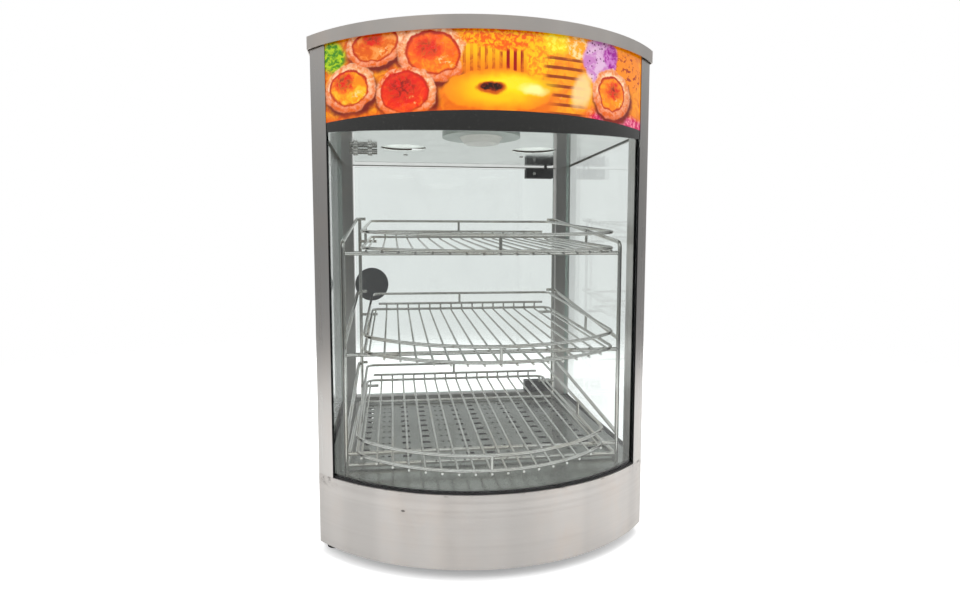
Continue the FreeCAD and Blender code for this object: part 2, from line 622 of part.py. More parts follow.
node("canopy_rear_panel", cut(header, *header_holes, *header_vents))
lid_outer = plan_plate("lid_outer", "-lid_overhang", "rear_face + lid_overhang",
                       ("case_height - lid_skirt", "case_height"))
lid_inner = plan_plate("lid_inner", "1 - lid_overhang", "rear_face + lid_overhang - 1",
                       ("case_height - lid_skirt - 1", "case_height - 1"))
node("lid_cap", cut(lid_outer, lid_inner))

# ---------------------------------------------------------------- door and its pivots
DOOR_FRONT = "door_middle - door_gauge / 2"
DOOR_BACK = "door_middle + door_gauge / 2"
HANDLE = ("-146", "300")
BOLT_X = "pivot_across - 22"
door_blank = box(("-door_half", "door_half"), (DOOR_FRONT, DOOR_BACK), ("door_bottom", "door_top"))
handle_hole = cross_cylinder("4", ("door_middle - 10", "door_middle + 10"), *HANDLE)
clip_holes = [cross_cylinder("3", ("door_middle - 10", "door_middle + 10"), BOLT_X, z)
              for z in ("door_bottom + 9", "door_top - 7.5")]
node("door_glass", cut(door_blank, handle_hole, *clip_holes))


def hinge_clip(name, low, high, pin_low, pin_high, screw_z):
    """Block that grips the glass edge, with the pin the door turns on."""
    body = box(("pivot_across - 36", "pivot_across + 12"), ("door_middle - 7.5", "door_middle + 7.5"),
               (low, high))
    slot = box(("pivot_across - 50", "pivot_across + 14"), (DOOR_FRONT, DOOR_BACK),
               ("door_bottom", "door_top"))
    pin = upright_cylinder("pin_radius", (pin_low, pin_high), "pivot_across", "door_middle")
    bolt_hole = cross_cylinder("1.6", ("door_middle - 10", "door_middle + 10"), BOLT_X, screw_z)
    node(name, cut(join(cut(body, slot), pin), bolt_hole))


hinge_clip("door_hinge_top", "door_top - 15", "door_top + 1.2",
           "door_top + 0.6", "ceiling_under + 4", "door_top - 7.5")
hinge_clip("door_hinge_bottom", "door_bottom - 1.5", "door_bottom + 18",
           "door_bottom - 8", "door_bottom - 1", "door_bottom + 9")
bushes = []
for low, high in (("base_top + 2", "base_top + 7"), ("ceiling_under", "ceiling_under + 6")):
    bushes.append(cut(upright_cylinder("3.95", (low, high), "pivot_across", "door_middle"),
                      upright_cylinder("pin_radius + 0.06", (low + " - 1", high + " + 1"),
                                       "pivot_across", "door_middle")))
node("door_pivot_bushes", group(*bushes))
hinge_bolts = []
for z in ("door_bottom + 9", "door_top - 7.5"):
    hinge_bolts.append(join(cross_cylinder("1.5", ("door_middle - 7.6", "door_middle + 7.6"), BOLT_X, z),
                            cross_cylinder("2.8", ("door_middle + 7.5", "door_middle + 9"), BOLT_X, z),
                            cross_cylinder("2.8", ("door_middle - 9", "door_middle - 7.5"), BOLT_X, z)))
node("door_hinge_bolts", group(*hinge_bolts))

outer_disc = cross_cylinder("28", (DOOR_BACK, DOOR_BACK + " + 3"), *HANDLE)
grip = cross_cylinder("17", (DOOR_BACK + " + 2.5", DOOR_BACK + " + 22"), *HANDLE)
grip_waist = cut(cross_cylinder("30", (DOOR_BACK + " + 3", DOOR_BACK + " + 15"), *HANDLE),
                 cross_cylinder("12", (DOOR_BACK + " + 2", DOOR_BACK + " + 16"), *HANDLE))
stud = cross_cylinder("3.4", ("door_middle - 2", DOOR_BACK + " + 1"), *HANDLE)
node("door_handle", join(cut(join(outer_disc, grip), grip_waist), stud))
inner_disc = cross_cylinder("28", (DOOR_FRONT + " - 3", DOOR_FRONT), *HANDLE)
screw_wells = [cross_cylinder("1.6", (DOOR_FRONT + " - 4", DOOR_FRONT + " - 1"),
                              "%s + %d" % (HANDLE[0], step), HANDLE[1] + " + 6")
               for step in (-9, 9)]
node("door_handle_inner_disc", cut(inner_disc, *screw_wells))

# ---------------------------------------------------------------- screws
screws = []
for x, y in FOOT_PLACES:
    screws.append(join(upright_cylinder("4", ("1.5", "4"), x, y),
                       upright_cylinder("2", ("3.5", "foot_height + 8"), x, y)))
for x, z in PANEL_SCREWS + HEADER_SCREWS:
    screws.append(join(cross_cylinder("3.2", ("rear_face", "rear_face + 1.8"), x, z),
                       cross_cylinder("1.5", ("rear_face - 7", "rear_face + 1"), x, z)))
for x, y in CEILING_SCREWS:
    screws.append(join(upright_cylinder("3.2", ("ceiling_under - 1.8", "ceiling_under"), x, y),
                       upright_cylinder("1.5", ("ceiling_under - 1", "ceiling_under + 6"), x, y)))
node("case_screws", group(*screws))

# ---------------------------------------------------------------- wire rack
RACK_FOOT = size("base_top") + size("deck_gauge") + 0.3
FRONT_Y = -size("rack_front")
REAR_Y = size("rack_rear")
RAIL = size("rail_radius")
UPRIGHT = size("upright_radius")
RAIL_FRONT_ABOVE_BAR = 13.0
RAIL_RISE = 39.0
HOOK_REACH = 14.0
LEVELS = [size("low_bar") + step * size("shelf_pitch") for step in range(3)]
TILT = math.tan(math.radians(size("shelf_tilt")))
UPRIGHT_Y = REAR_Y - 8         # rear uprights stand just inside the rails' bends
UPRIGHT_INSET = 4.8
PEG_Y = REAR_Y - 18            # short pegs that carry the rear of each shelf
PEG_REACH = 32.0
SHELF_GAP = 0.3                # play between a shelf and the bar it lies on
SHELF_REAR_Y = 171.0 - FRONT_Y


def rack_side(name, side_sign):
    """Welded side frame: two uprights, three rising rails with hooked ends, foot rail, pegs."""
    x = side_sign * size("rack_half")
    hook_x = x - side_sign * HOOK_REACH
    top_front = LEVELS[-1] + RAIL_FRONT_ABOVE_BAR
    foot = RACK_FOOT + UPRIGHT
    rear_x = x - side_sign * UPRIGHT_INSET
    peg_x = x - side_sign * PEG_REACH
    top_rear = top_front + RAIL_RISE
    rods = [rod_along(bent_path([(x, FRONT_Y, RACK_FOOT), (x, FRONT_Y, top_front),
                                 (x, REAR_Y, top_rear), (hook_x, REAR_Y, top_rear)], 8), RAIL)]
    for level in LEVELS[:-1]:
        front = level + RAIL_FRONT_ABOVE_BAR
        rods.append(rod_along(bent_path([(x, FRONT_Y, front), (x, REAR_Y, front + RAIL_RISE),
                                         (hook_x, REAR_Y, front + RAIL_RISE)], 8), RAIL * 0.96))
    rods.append(straight_rod((rear_x, UPRIGHT_Y, RACK_FOOT), (rear_x, UPRIGHT_Y, top_rear - 0.8),
                             UPRIGHT * 0.9))
    rods.append(straight_rod((x, FRONT_Y, foot), (x, UPRIGHT_Y, foot), RAIL * 0.98))
    for level in LEVELS:
        peg_z = level + SHELF_GAP + TILT * (PEG_Y - FRONT_Y)
        rods.append(straight_rod((rear_x, PEG_Y, peg_z), (peg_x, PEG_Y, peg_z), RAIL * 0.9))
        rods.append(straight_rod((rear_x, PEG_Y, peg_z), (rear_x, UPRIGHT_Y, peg_z), RAIL * 0.8))
    return feature(name, weld(rods))


rack_side("rack_side_left", -1)
rack_side("rack_side_right", 1)
bars = []
BAR_REACH = size("rack_half") - UPRIGHT + 0.3
for z in LEVELS + [RACK_FOOT + UPRIGHT + 1]:
    bars.append(straight_rod((-BAR_REACH, FRONT_Y, z), (BAR_REACH, FRONT_Y, z), RAIL))
rear_bar_z = RACK_FOOT + UPRIGHT
REAR_REACH = size("rack_half") - UPRIGHT_INSET - UPRIGHT * 0.9 - 0.1
bars.append(straight_rod((-REAR_REACH, UPRIGHT_Y, rear_bar_z), (REAR_REACH, UPRIGHT_Y, rear_bar_z), RAIL))
feature("rack_cross_bars", Part.makeCompound(bars))

# ---------------------------------------------------------------- wire shelves
SHELF_FRONT_Y = -229.0 - FRONT_Y   # all shelf places run from its front bar
SHELF_BOW = 198.5
FRONT_CORNER = 36.0
REAR_CORNER = 12.0
GUARD_UP = 17.5                # guard rail above the ring, at the front
GUARD_TURN = 1.2               # degrees, the guard rises to the rear
REAR_LIP_UP = 9.2
LIP_HALF = 139.0
WIRE_PITCH = 18.0
WIRES_EACH_SIDE = 8
SIDE_STUB_Y = 92.0             # stubs that carry the guard rail
REAR_STUB_X = -4.0
SHIFTS = (-5.0, 5.0, 4.0)      # the shelves lie a little off the middle, lowest first


def shelf_corner():
    """Where the straight side, the corner and the bowed front of a shelf meet."""
    half = size("shelf_half")
    bow_y = SHELF_FRONT_Y + SHELF_BOW
    centre_x = half - FRONT_CORNER
    centre_y = bow_y - math.sqrt((SHELF_BOW - FRONT_CORNER) ** 2 - centre_x ** 2)
    reach = math.hypot(centre_x, bow_y - centre_y)
    meet_x = SHELF_BOW * centre_x / reach
    meet_y = bow_y - SHELF_BOW * (bow_y - centre_y) / reach
    return centre_x, centre_y, meet_x, meet_y, bow_y


def shelf_ring(z):
    """Closed path round a shelf at one height."""
    half = size("shelf_half")
    corner_x, corner_y, meet_x, meet_y, bow_y = shelf_corner()
    vector = FreeCAD.Vector
    slant = math.atan2(bow_y - corner_y, corner_x) / 2
    mid_x = corner_x + FRONT_CORNER * math.cos(slant)
    mid_y = corner_y - FRONT_CORNER * math.sin(slant)
    rear = SHELF_REAR_Y
    inner = half - REAR_CORNER
    bulge = REAR_CORNER * math.sqrt(0.5)
    edges = [
        Part.LineSegment(vector(-inner, rear, z), vector(inner, rear, z)),
        Part.Arc(vector(inner, rear, z), vector(inner + bulge, rear - REAR_CORNER + bulge, z),
                 vector(half, rear - REAR_CORNER, z)),
        Part.LineSegment(vector(half, rear - REAR_CORNER, z), vector(half, corner_y, z)),
        Part.Arc(vector(half, corner_y, z), vector(mid_x, mid_y, z), vector(meet_x, meet_y, z)),
        Part.Arc(vector(meet_x, meet_y, z), vector(0, SHELF_FRONT_Y, z), vector(-meet_x, meet_y, z)),
        Part.Arc(vector(-meet_x, meet_y, z), vector(-mid_x, mid_y, z), vector(-half, corner_y, z)),
        Part.LineSegment(vector(-half, corner_y, z), vector(-half, rear - REAR_CORNER, z)),
        Part.Arc(vector(-half, rear - REAR_CORNER, z),
                 vector(-inner - bulge, rear - REAR_CORNER + bulge, z), vector(-inner, rear, z)),
    ]
    return Part.Wire([edge.toShape() for edge in edges])


def front_edge(x):
    """How far forward a shelf reaches at a sideways distance."""
    corner_x, corner_y, meet_x, meet_y, bow_y = shelf_corner()
    if abs(x) <= meet_x:
        return bow_y - math.sqrt(SHELF_BOW ** 2 - x ** 2)
    return corner_y - math.sqrt(FRONT_CORNER ** 2 - (abs(x) - corner_x) ** 2)


def wire_shelf(name, level, shift):
    """Floor grid with a ring round it, and the guard rail above on four stubs."""
    wire = size("floor_wire_radius")
    ring = size("ring_radius")
    ring_z = wire * 2 + ring - 0.4
    lip_z = ring_z + REAR_LIP_UP
    grid = [rod_along(shelf_ring(ring_z), ring)]
    inner = size("shelf_half") - REAR_CORNER
    for step in range(-WIRES_EACH_SIDE, WIRES_EACH_SIDE + 1):
        x = step * WIRE_PITCH
        front = front_edge(x) - ring - 0.8
        rear = SHELF_REAR_Y + ring + wire - 0.4
        if abs(x) > inner:
            grid.append(straight_rod((x, front, wire), (x, SHELF_REAR_Y + 0.6, wire), wire))
            continue
        grid.append(rod_along(bent_path([(x, front, wire), (x, rear, wire), (x, rear, lip_z)], 3), wire))
    grid.append(straight_rod((-LIP_HALF, SHELF_REAR_Y, lip_z), (LIP_HALF, SHELF_REAR_Y, lip_z), ring * 0.95))
    floor = weld(grid)
    guard_z = ring_z + GUARD_UP
    half = size("shelf_half")
    guard_path = shelf_ring(guard_z)
    guard_path.rotate(FreeCAD.Vector(0, SHELF_FRONT_Y, guard_z), FreeCAD.Vector(1, 0, 0), GUARD_TURN)
    guard = [rod_along(guard_path, ring)]
    stubs = [(0, SHELF_FRONT_Y, ring_z), (half, SIDE_STUB_Y, ring_z), (-half, SIDE_STUB_Y, ring_z),
             (REAR_STUB_X, SHELF_REAR_Y, lip_z)]
    for x, y, foot in stubs:
        top = guard_z + (y - SHELF_FRONT_Y) * math.tan(math.radians(GUARD_TURN))
        guard.append(straight_rod((x, y, foot + ring + 0.02), (x, y, top), ring * 0.9))
    rail = weld(guard)
    rear_up = FreeCAD.Rotation(FreeCAD.Vector(1, 0, 0), size("shelf_tilt"))
    on_bar = FreeCAD.Vector(shift, FRONT_Y, level + RAIL + SHELF_GAP)
    placement = FreeCAD.Placement(on_bar, rear_up, FreeCAD.Vector(0, 0, 0))
    feature(name + "_grid", floor, placement)
    feature(name + "_guard_rail", rail, placement)


for name, level, shift in zip(("lower_shelf", "middle_shelf", "upper_shelf"), LEVELS, SHIFTS):
    wire_shelf(name, level, shift)

# ---------------------------------------------------------------- checks and files
doc.recompute()
for item in doc.Objects:
    if "Invalid" in item.State or "Error" in item.State:
        raise RuntimeError("%s (%s) failed: %s" % (item.Name, item.Label, item.State))
labels = [item.Label for item in NODES]
if len(set(labels)) != len(labels):
    raise RuntimeError("two pieces share a name")
for item in NODES:
    if item.Shape.isNull() or not item.Shape.isValid() or not item.Shape.Solids:
        raise RuntimeError("%s has no valid solid" % item.Label)
for item in NODES:
    item.Shape.exportStep("parts/%s.step" % item.Label)
print("%d nodes written" % len(NODES))
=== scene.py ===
import math

import bmesh
import bpy
from mathutils import Matrix, Vector


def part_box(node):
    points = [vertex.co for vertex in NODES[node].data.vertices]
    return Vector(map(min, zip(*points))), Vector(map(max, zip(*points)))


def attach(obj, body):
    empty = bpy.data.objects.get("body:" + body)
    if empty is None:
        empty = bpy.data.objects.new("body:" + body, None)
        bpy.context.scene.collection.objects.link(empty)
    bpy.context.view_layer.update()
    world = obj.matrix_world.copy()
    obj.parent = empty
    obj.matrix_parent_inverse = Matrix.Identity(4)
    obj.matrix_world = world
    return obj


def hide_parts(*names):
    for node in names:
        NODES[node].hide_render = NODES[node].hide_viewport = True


# Looks of the hot food display case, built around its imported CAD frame. Metres, +Z up, front faces -Y.

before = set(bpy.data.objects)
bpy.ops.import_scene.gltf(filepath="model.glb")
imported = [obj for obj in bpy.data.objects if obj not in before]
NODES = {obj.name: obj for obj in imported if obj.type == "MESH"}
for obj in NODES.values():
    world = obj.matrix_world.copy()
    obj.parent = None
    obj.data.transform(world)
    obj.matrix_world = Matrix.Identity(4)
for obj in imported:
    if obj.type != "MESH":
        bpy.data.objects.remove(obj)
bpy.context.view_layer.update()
scene = bpy.context.scene
MM = 0.001


# ---------------------------------------------------------------- places read from the frame
def low(node):
    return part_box(node)[0]


def high(node):
    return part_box(node)[1]


def middle(node):
    lowest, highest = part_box(node)
    return (lowest + highest) / 2


SIDE = high("canopy_side_panels").x
POST_DEPTH = 24 * MM            # how far a front post reaches behind the chord of the curved front
CHORD_Y = high("front_post_left").y - POST_DEPTH
RISE = CHORD_Y - low("base_plinth_shell").y
ARC_RADIUS = (SIDE ** 2 + RISE ** 2) / (2 * RISE)
ARC_CENTRE_Y = low("base_plinth_shell").y + ARC_RADIUS
BACK_Y = high("base_plinth_shell").y
BASE_TOP = high("base_plinth_shell").z


# ---------------------------------------------------------------- shader building
class Nodes:
    """Adds nodes to one tree. Places are in metres in the CAD frame; stretches are per metre."""

    def __init__(self, tree):
        self.tree = tree
        self.coords = self.node("TexCoord").outputs["Object"]

    def node(self, kind, **settings):
        made = self.tree.nodes.new("ShaderNode" + kind)
        for name, value in settings.items():
            setattr(made, name, value)
        return made

    def feed(self, socket, value):
        if isinstance(value, bpy.types.NodeSocket):
            self.tree.links.new(value, socket)
        elif value is not None:
            if socket.type == "RGBA" and len(value) == 3:
                value = (*value, 1.0)
            socket.default_value = value

    def maths(self, operation, first, second=None, third=None):
        made = self.node("Math", operation=operation)
        for socket, value in zip(made.inputs, (first, second, third)):
            self.feed(socket, value)
        return made.outputs[0]

    def vector(self, operation, first, second=None):
        made = self.node("VectorMath", operation=operation)
        for socket, value in zip(made.inputs, (first, second)):
            self.feed(socket, value)
        return made.outputs["Value" if operation in ("LENGTH", "DOT_PRODUCT") else "Vector"]

    def mix(self, factor, first, second):
        made = self.node("Mix", data_type="RGBA")
        self.feed(made.inputs[0], factor)
        self.feed(made.inputs[6], first)
        self.feed(made.inputs[7], second)
        return made.outputs[2]

    def between(self, value, start, end, low_value=0.0, high_value=1.0):
        """Smooth step of a value from start to end."""
        made = self.node("MapRange", interpolation_type="SMOOTHSTEP")
        for socket, number in zip(made.inputs, (value, start, end, low_value, high_value)):
            self.feed(socket, number)
        return made.outputs[0]

    def stretched(self, x, y, z, source=None):
        return self.vector("MULTIPLY", source or self.coords, (x, y, z))

    def noise(self, vector, detail=3.0, roughness=0.55, distortion=0.0):
        made = self.node("TexNoise")
        self.feed(made.inputs["Vector"], vector)
        made.inputs["Scale"].default_value = 1.0
        made.inputs["Detail"].default_value = detail
        made.inputs["Roughness"].default_value = roughness
        made.inputs["Distortion"].default_value = distortion
        return made.outputs["Fac"]

    def cells(self, vector):
        made = self.node("TexVoronoi")
        self.feed(made.inputs["Vector"], vector)
        made.inputs["Scale"].default_value = 1.0
        return made.outputs["Distance"]

    def ramp(self, value, *stops):
        """Colours at places from 0 to 1."""
        made = self.node("ValToRGB")
        self.feed(made.inputs[0], value)
        band = made.color_ramp
        while len(band.elements) < len(stops):
            band.elements.new(0.5)
        for element, (place, colour) in zip(band.elements, stops):
            element.position = place
            element.color = (*colour, 1.0)
        return made.outputs["Color"]

    def split(self, source=None):
        made = self.node("SeparateXYZ")
        self.feed(made.inputs[0], source or self.coords)
        return made.outputs


class Shader(Nodes):
    """One node material."""

    def __init__(self, name):
        self.material = bpy.data.materials.new(name)
        self.material.use_nodes = True
        super().__init__(self.material.node_tree)
        self.surface = self.tree.nodes["Principled BSDF"]
        self.normal = None

    def bump(self, height, strength, distance):
        made = self.node("Bump")
        made.inputs["Strength"].default_value = strength
        made.inputs["Distance"].default_value = distance
        self.feed(made.inputs["Height"], height)
        if self.normal:
            self.feed(made.inputs["Normal"], self.normal)
        self.normal = made.outputs[0]
        self.feed(self.surface.inputs["Normal"], self.normal)

    def set(self, **values):
        for name, value in values.items():
            self.feed(self.surface.inputs[name.replace("_", " ")], value)


def shade(value):
    """Linear value of an sRGB level from 0 to 1."""
    return value / 12.92 if value <= 0.04045 else ((value + 0.055) / 1.055) ** 2.4


def paint(red, green, blue):
    """Linear colour of sRGB levels from 0 to 255."""
    return tuple(shade(level / 255) for level in (red, green, blue))


def scaled(colour, share):
    return [level * share for level in colour]


# ---------------------------------------------------------------- metals
# brushed lines along X and upright, as repeats per metre on X, Y and Z
ALONG_X, UPRIGHT_GRAIN = (3, 3, 2400), (2400, 2400, 3)


def brushed(name, colour, grain=ALONG_X, smooth=0.24, rough=0.38, upright_smear=True, marks=0.35):
    """Satin sheet: fine grain along the brushing, soft darker banding across it painted in as smeared
    reflections, cloudy handling marks.
    """
    make = Shader(name)
    fine = make.noise(make.stretched(*grain), 2.0, 0.6)
    coarse = make.noise(make.stretched(*[max(step / 6, 2) for step in grain]), 2.0)
    # painted reflection: soft darker upright bands in the colour stand in for reflections smeared by the
    # brushing
    painted_reflection_noise = make.noise(make.stretched(17, 17, 0.8), 1.5)
    clouds = make.noise(make.stretched(22, 22, 16), 4.0, 0.6, 0.4)
    yellowed = [level * tint for level, tint in zip(colour, (1.03, 0.985, 0.95))]
    warm = make.mix(make.between(clouds, 0.35, 0.7), colour, yellowed)
    with_painted_reflections = make.mix(make.between(painted_reflection_noise, 0.3, 0.7), warm, scaled(colour, 0.86))
    grained = make.mix(make.maths("MULTIPLY", make.between(fine, 0.35, 0.65), 0.07), with_painted_reflections,
                       scaled(colour, 0.72))
    make.set(Base_Color=grained, Metallic=1.0)
    smeared = make.maths("MULTIPLY", make.between(clouds, 0.5, 0.75), marks * 0.2)
    grain_rough = make.between(coarse, 0.3, 0.7, smooth, rough)
    make.set(Roughness=make.maths("ADD", grain_rough, smeared))
    make.surface.inputs["Anisotropic"].default_value = 0.6
    make.surface.inputs["Anisotropic Rotation"].default_value = 0.25 if upright_smear else 0.0
    tangent = make.node("Tangent", direction_type="RADIAL", axis="Z")
    make.feed(make.surface.inputs["Tangent"], tangent.outputs[0])
    make.bump(fine, 0.03, 0.00003)
    make.bump(make.noise(make.stretched(9, 9, 5), 1.0), 0.1, 0.001)
    return make


SPECK_PLACE = Vector((-0.1023, -0.2197, 0.0769))     # on the plinth's front, left of its middle


def base_sheet():
    """The plinth's wrapped sheet, with one dark speck, and blotchy darkening near its top corners and along
    its top edge.
    """
    make = brushed("plinth_satin", (0.7, 0.675, 0.65), smooth=0.3, rough=0.42)
    grained = make.surface.inputs["Base Color"].links[0].from_socket
    offset = make.vector("SUBTRACT", make.coords, SPECK_PLACE)
    near = make.vector("LENGTH", make.stretched(0.5, 0.5, 1.0, offset))
    speck = make.between(near, 0.0007, 0.0016, 0.85, 0.0)
    specked = make.mix(speck, grained, (0.1, 0.09, 0.085))
    height = make.split()[2]
    # blotchy darkening in the top 16 mm near the side ends, and in the top 4 mm all along
    seam = make.between(height, BASE_TOP - 0.016, BASE_TOP, 0.0, 1.0)
    across = make.maths("ABSOLUTE", make.split()[0])
    seam_end = make.between(across, SIDE - 0.03, SIDE - 0.012)
    blotch = make.between(make.noise(make.stretched(160, 160, 260), 4.0, 0.65), 0.5, 0.66)
    corner_darkening = make.maths("MULTIPLY", make.maths("MULTIPLY", seam, seam_end), blotch)
    rim_blotch = make.between(make.noise(make.stretched(60, 60, 400), 3.0, 0.6), 0.58, 0.68)
    rim = make.maths("MULTIPLY", make.between(height, BASE_TOP - 0.004, BASE_TOP), rim_blotch)
    top_darkening = make.maths("MAXIMUM", make.maths("MULTIPLY", corner_darkening, 0.8), make.maths("MULTIPLY", rim, 0.6))
    make.set(Base_Color=make.mix(top_darkening, specked, (0.16, 0.145, 0.13)))
    return make


def polished(name, colour, rough=0.05):
    """Mirror-finished sheet with faint polishing lines and wiped streaks."""
    make = Shader(name)
    streaks = make.noise(make.stretched(8, 260, 8), 3.0)
    wipe = make.noise(make.stretched(14, 9, 14), 4.0, 0.6, 0.8)
    make.set(Base_Color=make.mix(make.between(wipe, 0.4, 0.75), colour, scaled(colour, 0.9)),
             Metallic=1.0, Roughness=make.between(wipe, 0.3, 0.8, rough, rough + 0.1))
    make.bump(streaks, 0.04, 0.00008)
    make.bump(make.noise(make.stretched(7, 7, 7), 1.0), 0.16, 0.002)
    return make


def deck_sheet():
    """Rolled sheet of the floor: bright but used, stained, scratched, with the walls of its holes painted
    near black as shade.
    """
    make = Shader("deck_used_sheet")
    stain = make.noise(make.stretched(20, 26, 20), 5.0, 0.65, 0.6)
    scratch_a = make.noise(make.stretched(1300, 16, 1), 2.0)
    scratch_b = make.noise(make.stretched(24, 1100, 1), 2.0, 0.5, 0.3)
    scratches = make.maths("MULTIPLY", make.between(scratch_a, 0.6, 0.75), make.between(scratch_b, 0.45, 0.7))
    plain = make.mix(make.between(stain, 0.35, 0.7), (0.36, 0.375, 0.345), (0.29, 0.305, 0.275))
    # the deck doesn't move, so the world's up serves as its own
    level = make.maths("ABSOLUTE", make.split(make.node("NewGeometry").outputs["Normal"])[2])
    # painted shade: the walls of the holes are coloured near black so the holes look dark inside
    hole_wall_painted_shade = make.between(level, 0.3, 0.7, 1.0, 0.0)
    bright = make.mix(scratches, plain, (0.6, 0.6, 0.58))
    make.set(Base_Color=make.mix(hole_wall_painted_shade, bright, (0.006, 0.006, 0.006)), Metallic=1.0,
             Roughness=make.between(stain, 0.3, 0.75, 0.14, 0.26))
    make.bump(scratches, 0.05, 0.00004)
    make.bump(make.noise(make.stretched(6, 5, 6), 0.0), 0.1, 0.001)
    return make


def wire_chrome():
    """Bright plating over drawn wire: slight waviness, dull patches, yellowed by heat."""
    make = Shader("wire_bright_plating")
    patch = make.noise(make.stretched(70, 70, 70), 3.0)
    heat = make.noise(make.stretched(12, 12, 12), 2.0)
    warm = make.mix(make.between(heat, 0.45, 0.75), (0.7, 0.695, 0.67), (0.62, 0.585, 0.52))
    make.set(Base_Color=make.mix(make.between(patch, 0.6, 0.8), warm, (0.42, 0.4, 0.36)), Metallic=1.0,
             Roughness=make.between(patch, 0.35, 0.75, 0.07, 0.18))
    make.bump(make.noise(make.stretched(420, 420, 420), 2.0), 0.05, 0.0001)
    return make


def plated(name, colour=(0.72, 0.71, 0.69)):
    make = Shader(name)
    patch = make.noise(make.stretched(180, 180, 180), 3.0)
    make.set(Base_Color=make.mix(make.between(patch, 0.5, 0.8), colour, scaled(colour, 0.75)),
             Metallic=1.0, Roughness=make.between(patch, 0.3, 0.8, 0.14, 0.34))
    make.bump(patch, 0.08, 0.0001)
    return make


def heater():
    make = Shader("heater_oxide")
    bloom = make.noise(make.stretched(60, 60, 60), 4.0, 0.6)
    make.set(Base_Color=make.ramp(bloom, (0.3, (0.1, 0.09, 0.08)), (0.6, (0.22, 0.19, 0.16)),
                                  (0.8, (0.3, 0.22, 0.15))),
             Metallic=0.6, Roughness=make.between(bloom, 0.3, 0.7, 0.45, 0.7))
    make.bump(bloom, 0.2, 0.0002)
    return make


# ---------------------------------------------------------------- plastics, rubber, enamel
def moulded(name, colour, rough=0.42, grain=900, wear=0.5):
    """Matt moulded plastic with a fine spark-eroded grain and lighter rubbed patches."""
    make = Shader(name)
    texture = make.noise(make.stretched(grain, grain, grain), 3.0)
    rubbed = make.noise(make.stretched(38, 38, 38), 4.0, 0.65)
    lighter = [min(level * 1.9 + 0.012, 1) for level in colour]
    worn = make.maths("MULTIPLY", make.between(rubbed, 0.5, 0.8), wear)
    make.set(Base_Color=make.mix(worn, colour, lighter),
             Roughness=make.between(rubbed, 0.3, 0.75, rough, rough + 0.16))
    make.bump(texture, 0.18, 0.00012)
    return make


def rubber(name, dust=0.4):
    make = Shader(name)
    pores = make.cells(make.stretched(700, 700, 700))
    film = make.noise(make.stretched(50, 50, 90), 4.0, 0.6)
    dusted = make.maths("MULTIPLY", make.between(film, 0.5, 0.8), dust)
    make.set(Base_Color=make.mix(dusted, (0.013, 0.013, 0.014), (0.06, 0.058, 0.054)),
             Roughness=make.between(film, 0.3, 0.7, 0.5, 0.75))
    make.bump(pores, 0.12, 0.0001)
    return make


def gloss_trim():
    """Glossy black strip with hairline wipe marks and specks of dust."""
    make = Shader("trim_gloss_black")
    wipe = make.noise(make.stretched(40, 40, 900), 3.0)
    dust = make.between(make.noise(make.stretched(900, 900, 900), 1.0), 0.72, 0.76)
    make.set(Base_Color=make.mix(dust, (0.012, 0.012, 0.011), (0.12, 0.11, 0.1)),
             Roughness=make.between(wipe, 0.35, 0.7, 0.08, 0.14))
    make.surface.inputs["Coat Weight"].default_value = 1.0
    make.surface.inputs["Coat Roughness"].default_value = 0.03
    make.bump(make.noise(make.stretched(22, 22, 2), 1.0), 0.3, 0.0016)
    return make


def soot_and_shade(name, colour):
    """Heat-darkened dull sheet under the deck, near black also as painted shade where little light reaches.
    """
    make = Shader(name)
    bloom = make.noise(make.stretched(80, 80, 80), 4.0, 0.6)
    # near-black colour: heat darkening, and painted shade under the deck
    make.set(Base_Color=make.mix(make.between(bloom, 0.4, 0.7), colour, scaled(colour, 1.6)),
             Roughness=make.between(bloom, 0.3, 0.7, 0.88, 1.0))
    make.surface.inputs["Specular IOR Level"].default_value = 0.05
    make.bump(bloom, 0.1, 0.0002)
    return make


def vent_pan():
    """Bright dished pan above a ceiling vent, with painted light glowing from it, and painted shade where it
    meets the ceiling sheet.
    """
    make = Shader("vent_pan_bright")
    cloud = make.noise(make.stretched(50, 50, 50), 3.0)
    rim = make.maths("SUBTRACT", make.split()[2], low("ceiling_plate").z)
    # painted shade: near black where the pan is within about 2 mm of the ceiling sheet
    clear_of_painted_shade = make.between(rim, 1.9 * MM, 2.6 * MM)
    bright = make.mix(make.between(cloud, 0.35, 0.7), (0.74, 0.77, 0.74), (0.66, 0.69, 0.66))
    # painted light: the pan glows faintly in its own colour, except at the painted shade
    glow = make.mix(clear_of_painted_shade, (0.0, 0.0, 0.0), bright)
    make.set(Base_Color=make.mix(clear_of_painted_shade, (0.02, 0.02, 0.02), bright), Emission_Color=glow,
             Roughness=make.between(cloud, 0.3, 0.7, 0.4, 0.6))
    make.surface.inputs["Emission Strength"].default_value = 0.6
    make.bump(cloud, 0.05, 0.0001)
    return make


def enamel(name, colour):
    make = Shader(name)
    peel = make.noise(make.stretched(600, 600, 600), 2.0)
    tint = make.noise(make.stretched(25, 25, 25), 3.0)
    make.set(Base_Color=make.mix(make.between(tint, 0.4, 0.8), colour, scaled(colour, 0.88)),
             Roughness=make.between(tint, 0.3, 0.8, 0.28, 0.42))
    make.bump(peel, 0.1, 0.0001)
    return make


def translucent(name, colour, rough=0.2, through=0.3, glow=0.0):
    """Coloured lens or rocker that lets some light in."""
    make = Shader(name)
    swirl = make.noise(make.stretched(120, 120, 120), 3.0)
    make.set(Base_Color=make.mix(make.between(swirl, 0.4, 0.8), colour, scaled(colour, 0.8)),
             Roughness=make.between(swirl, 0.3, 0.7, rough, rough + 0.12))
    make.surface.inputs["Transmission Weight"].default_value = through
    make.surface.inputs["Emission Color"].default_value = (*colour, 1)
    make.surface.inputs["Emission Strength"].default_value = glow
    make.bump(make.noise(make.stretched(700, 700, 700), 2.0), 0.05, 0.00008)
    return make


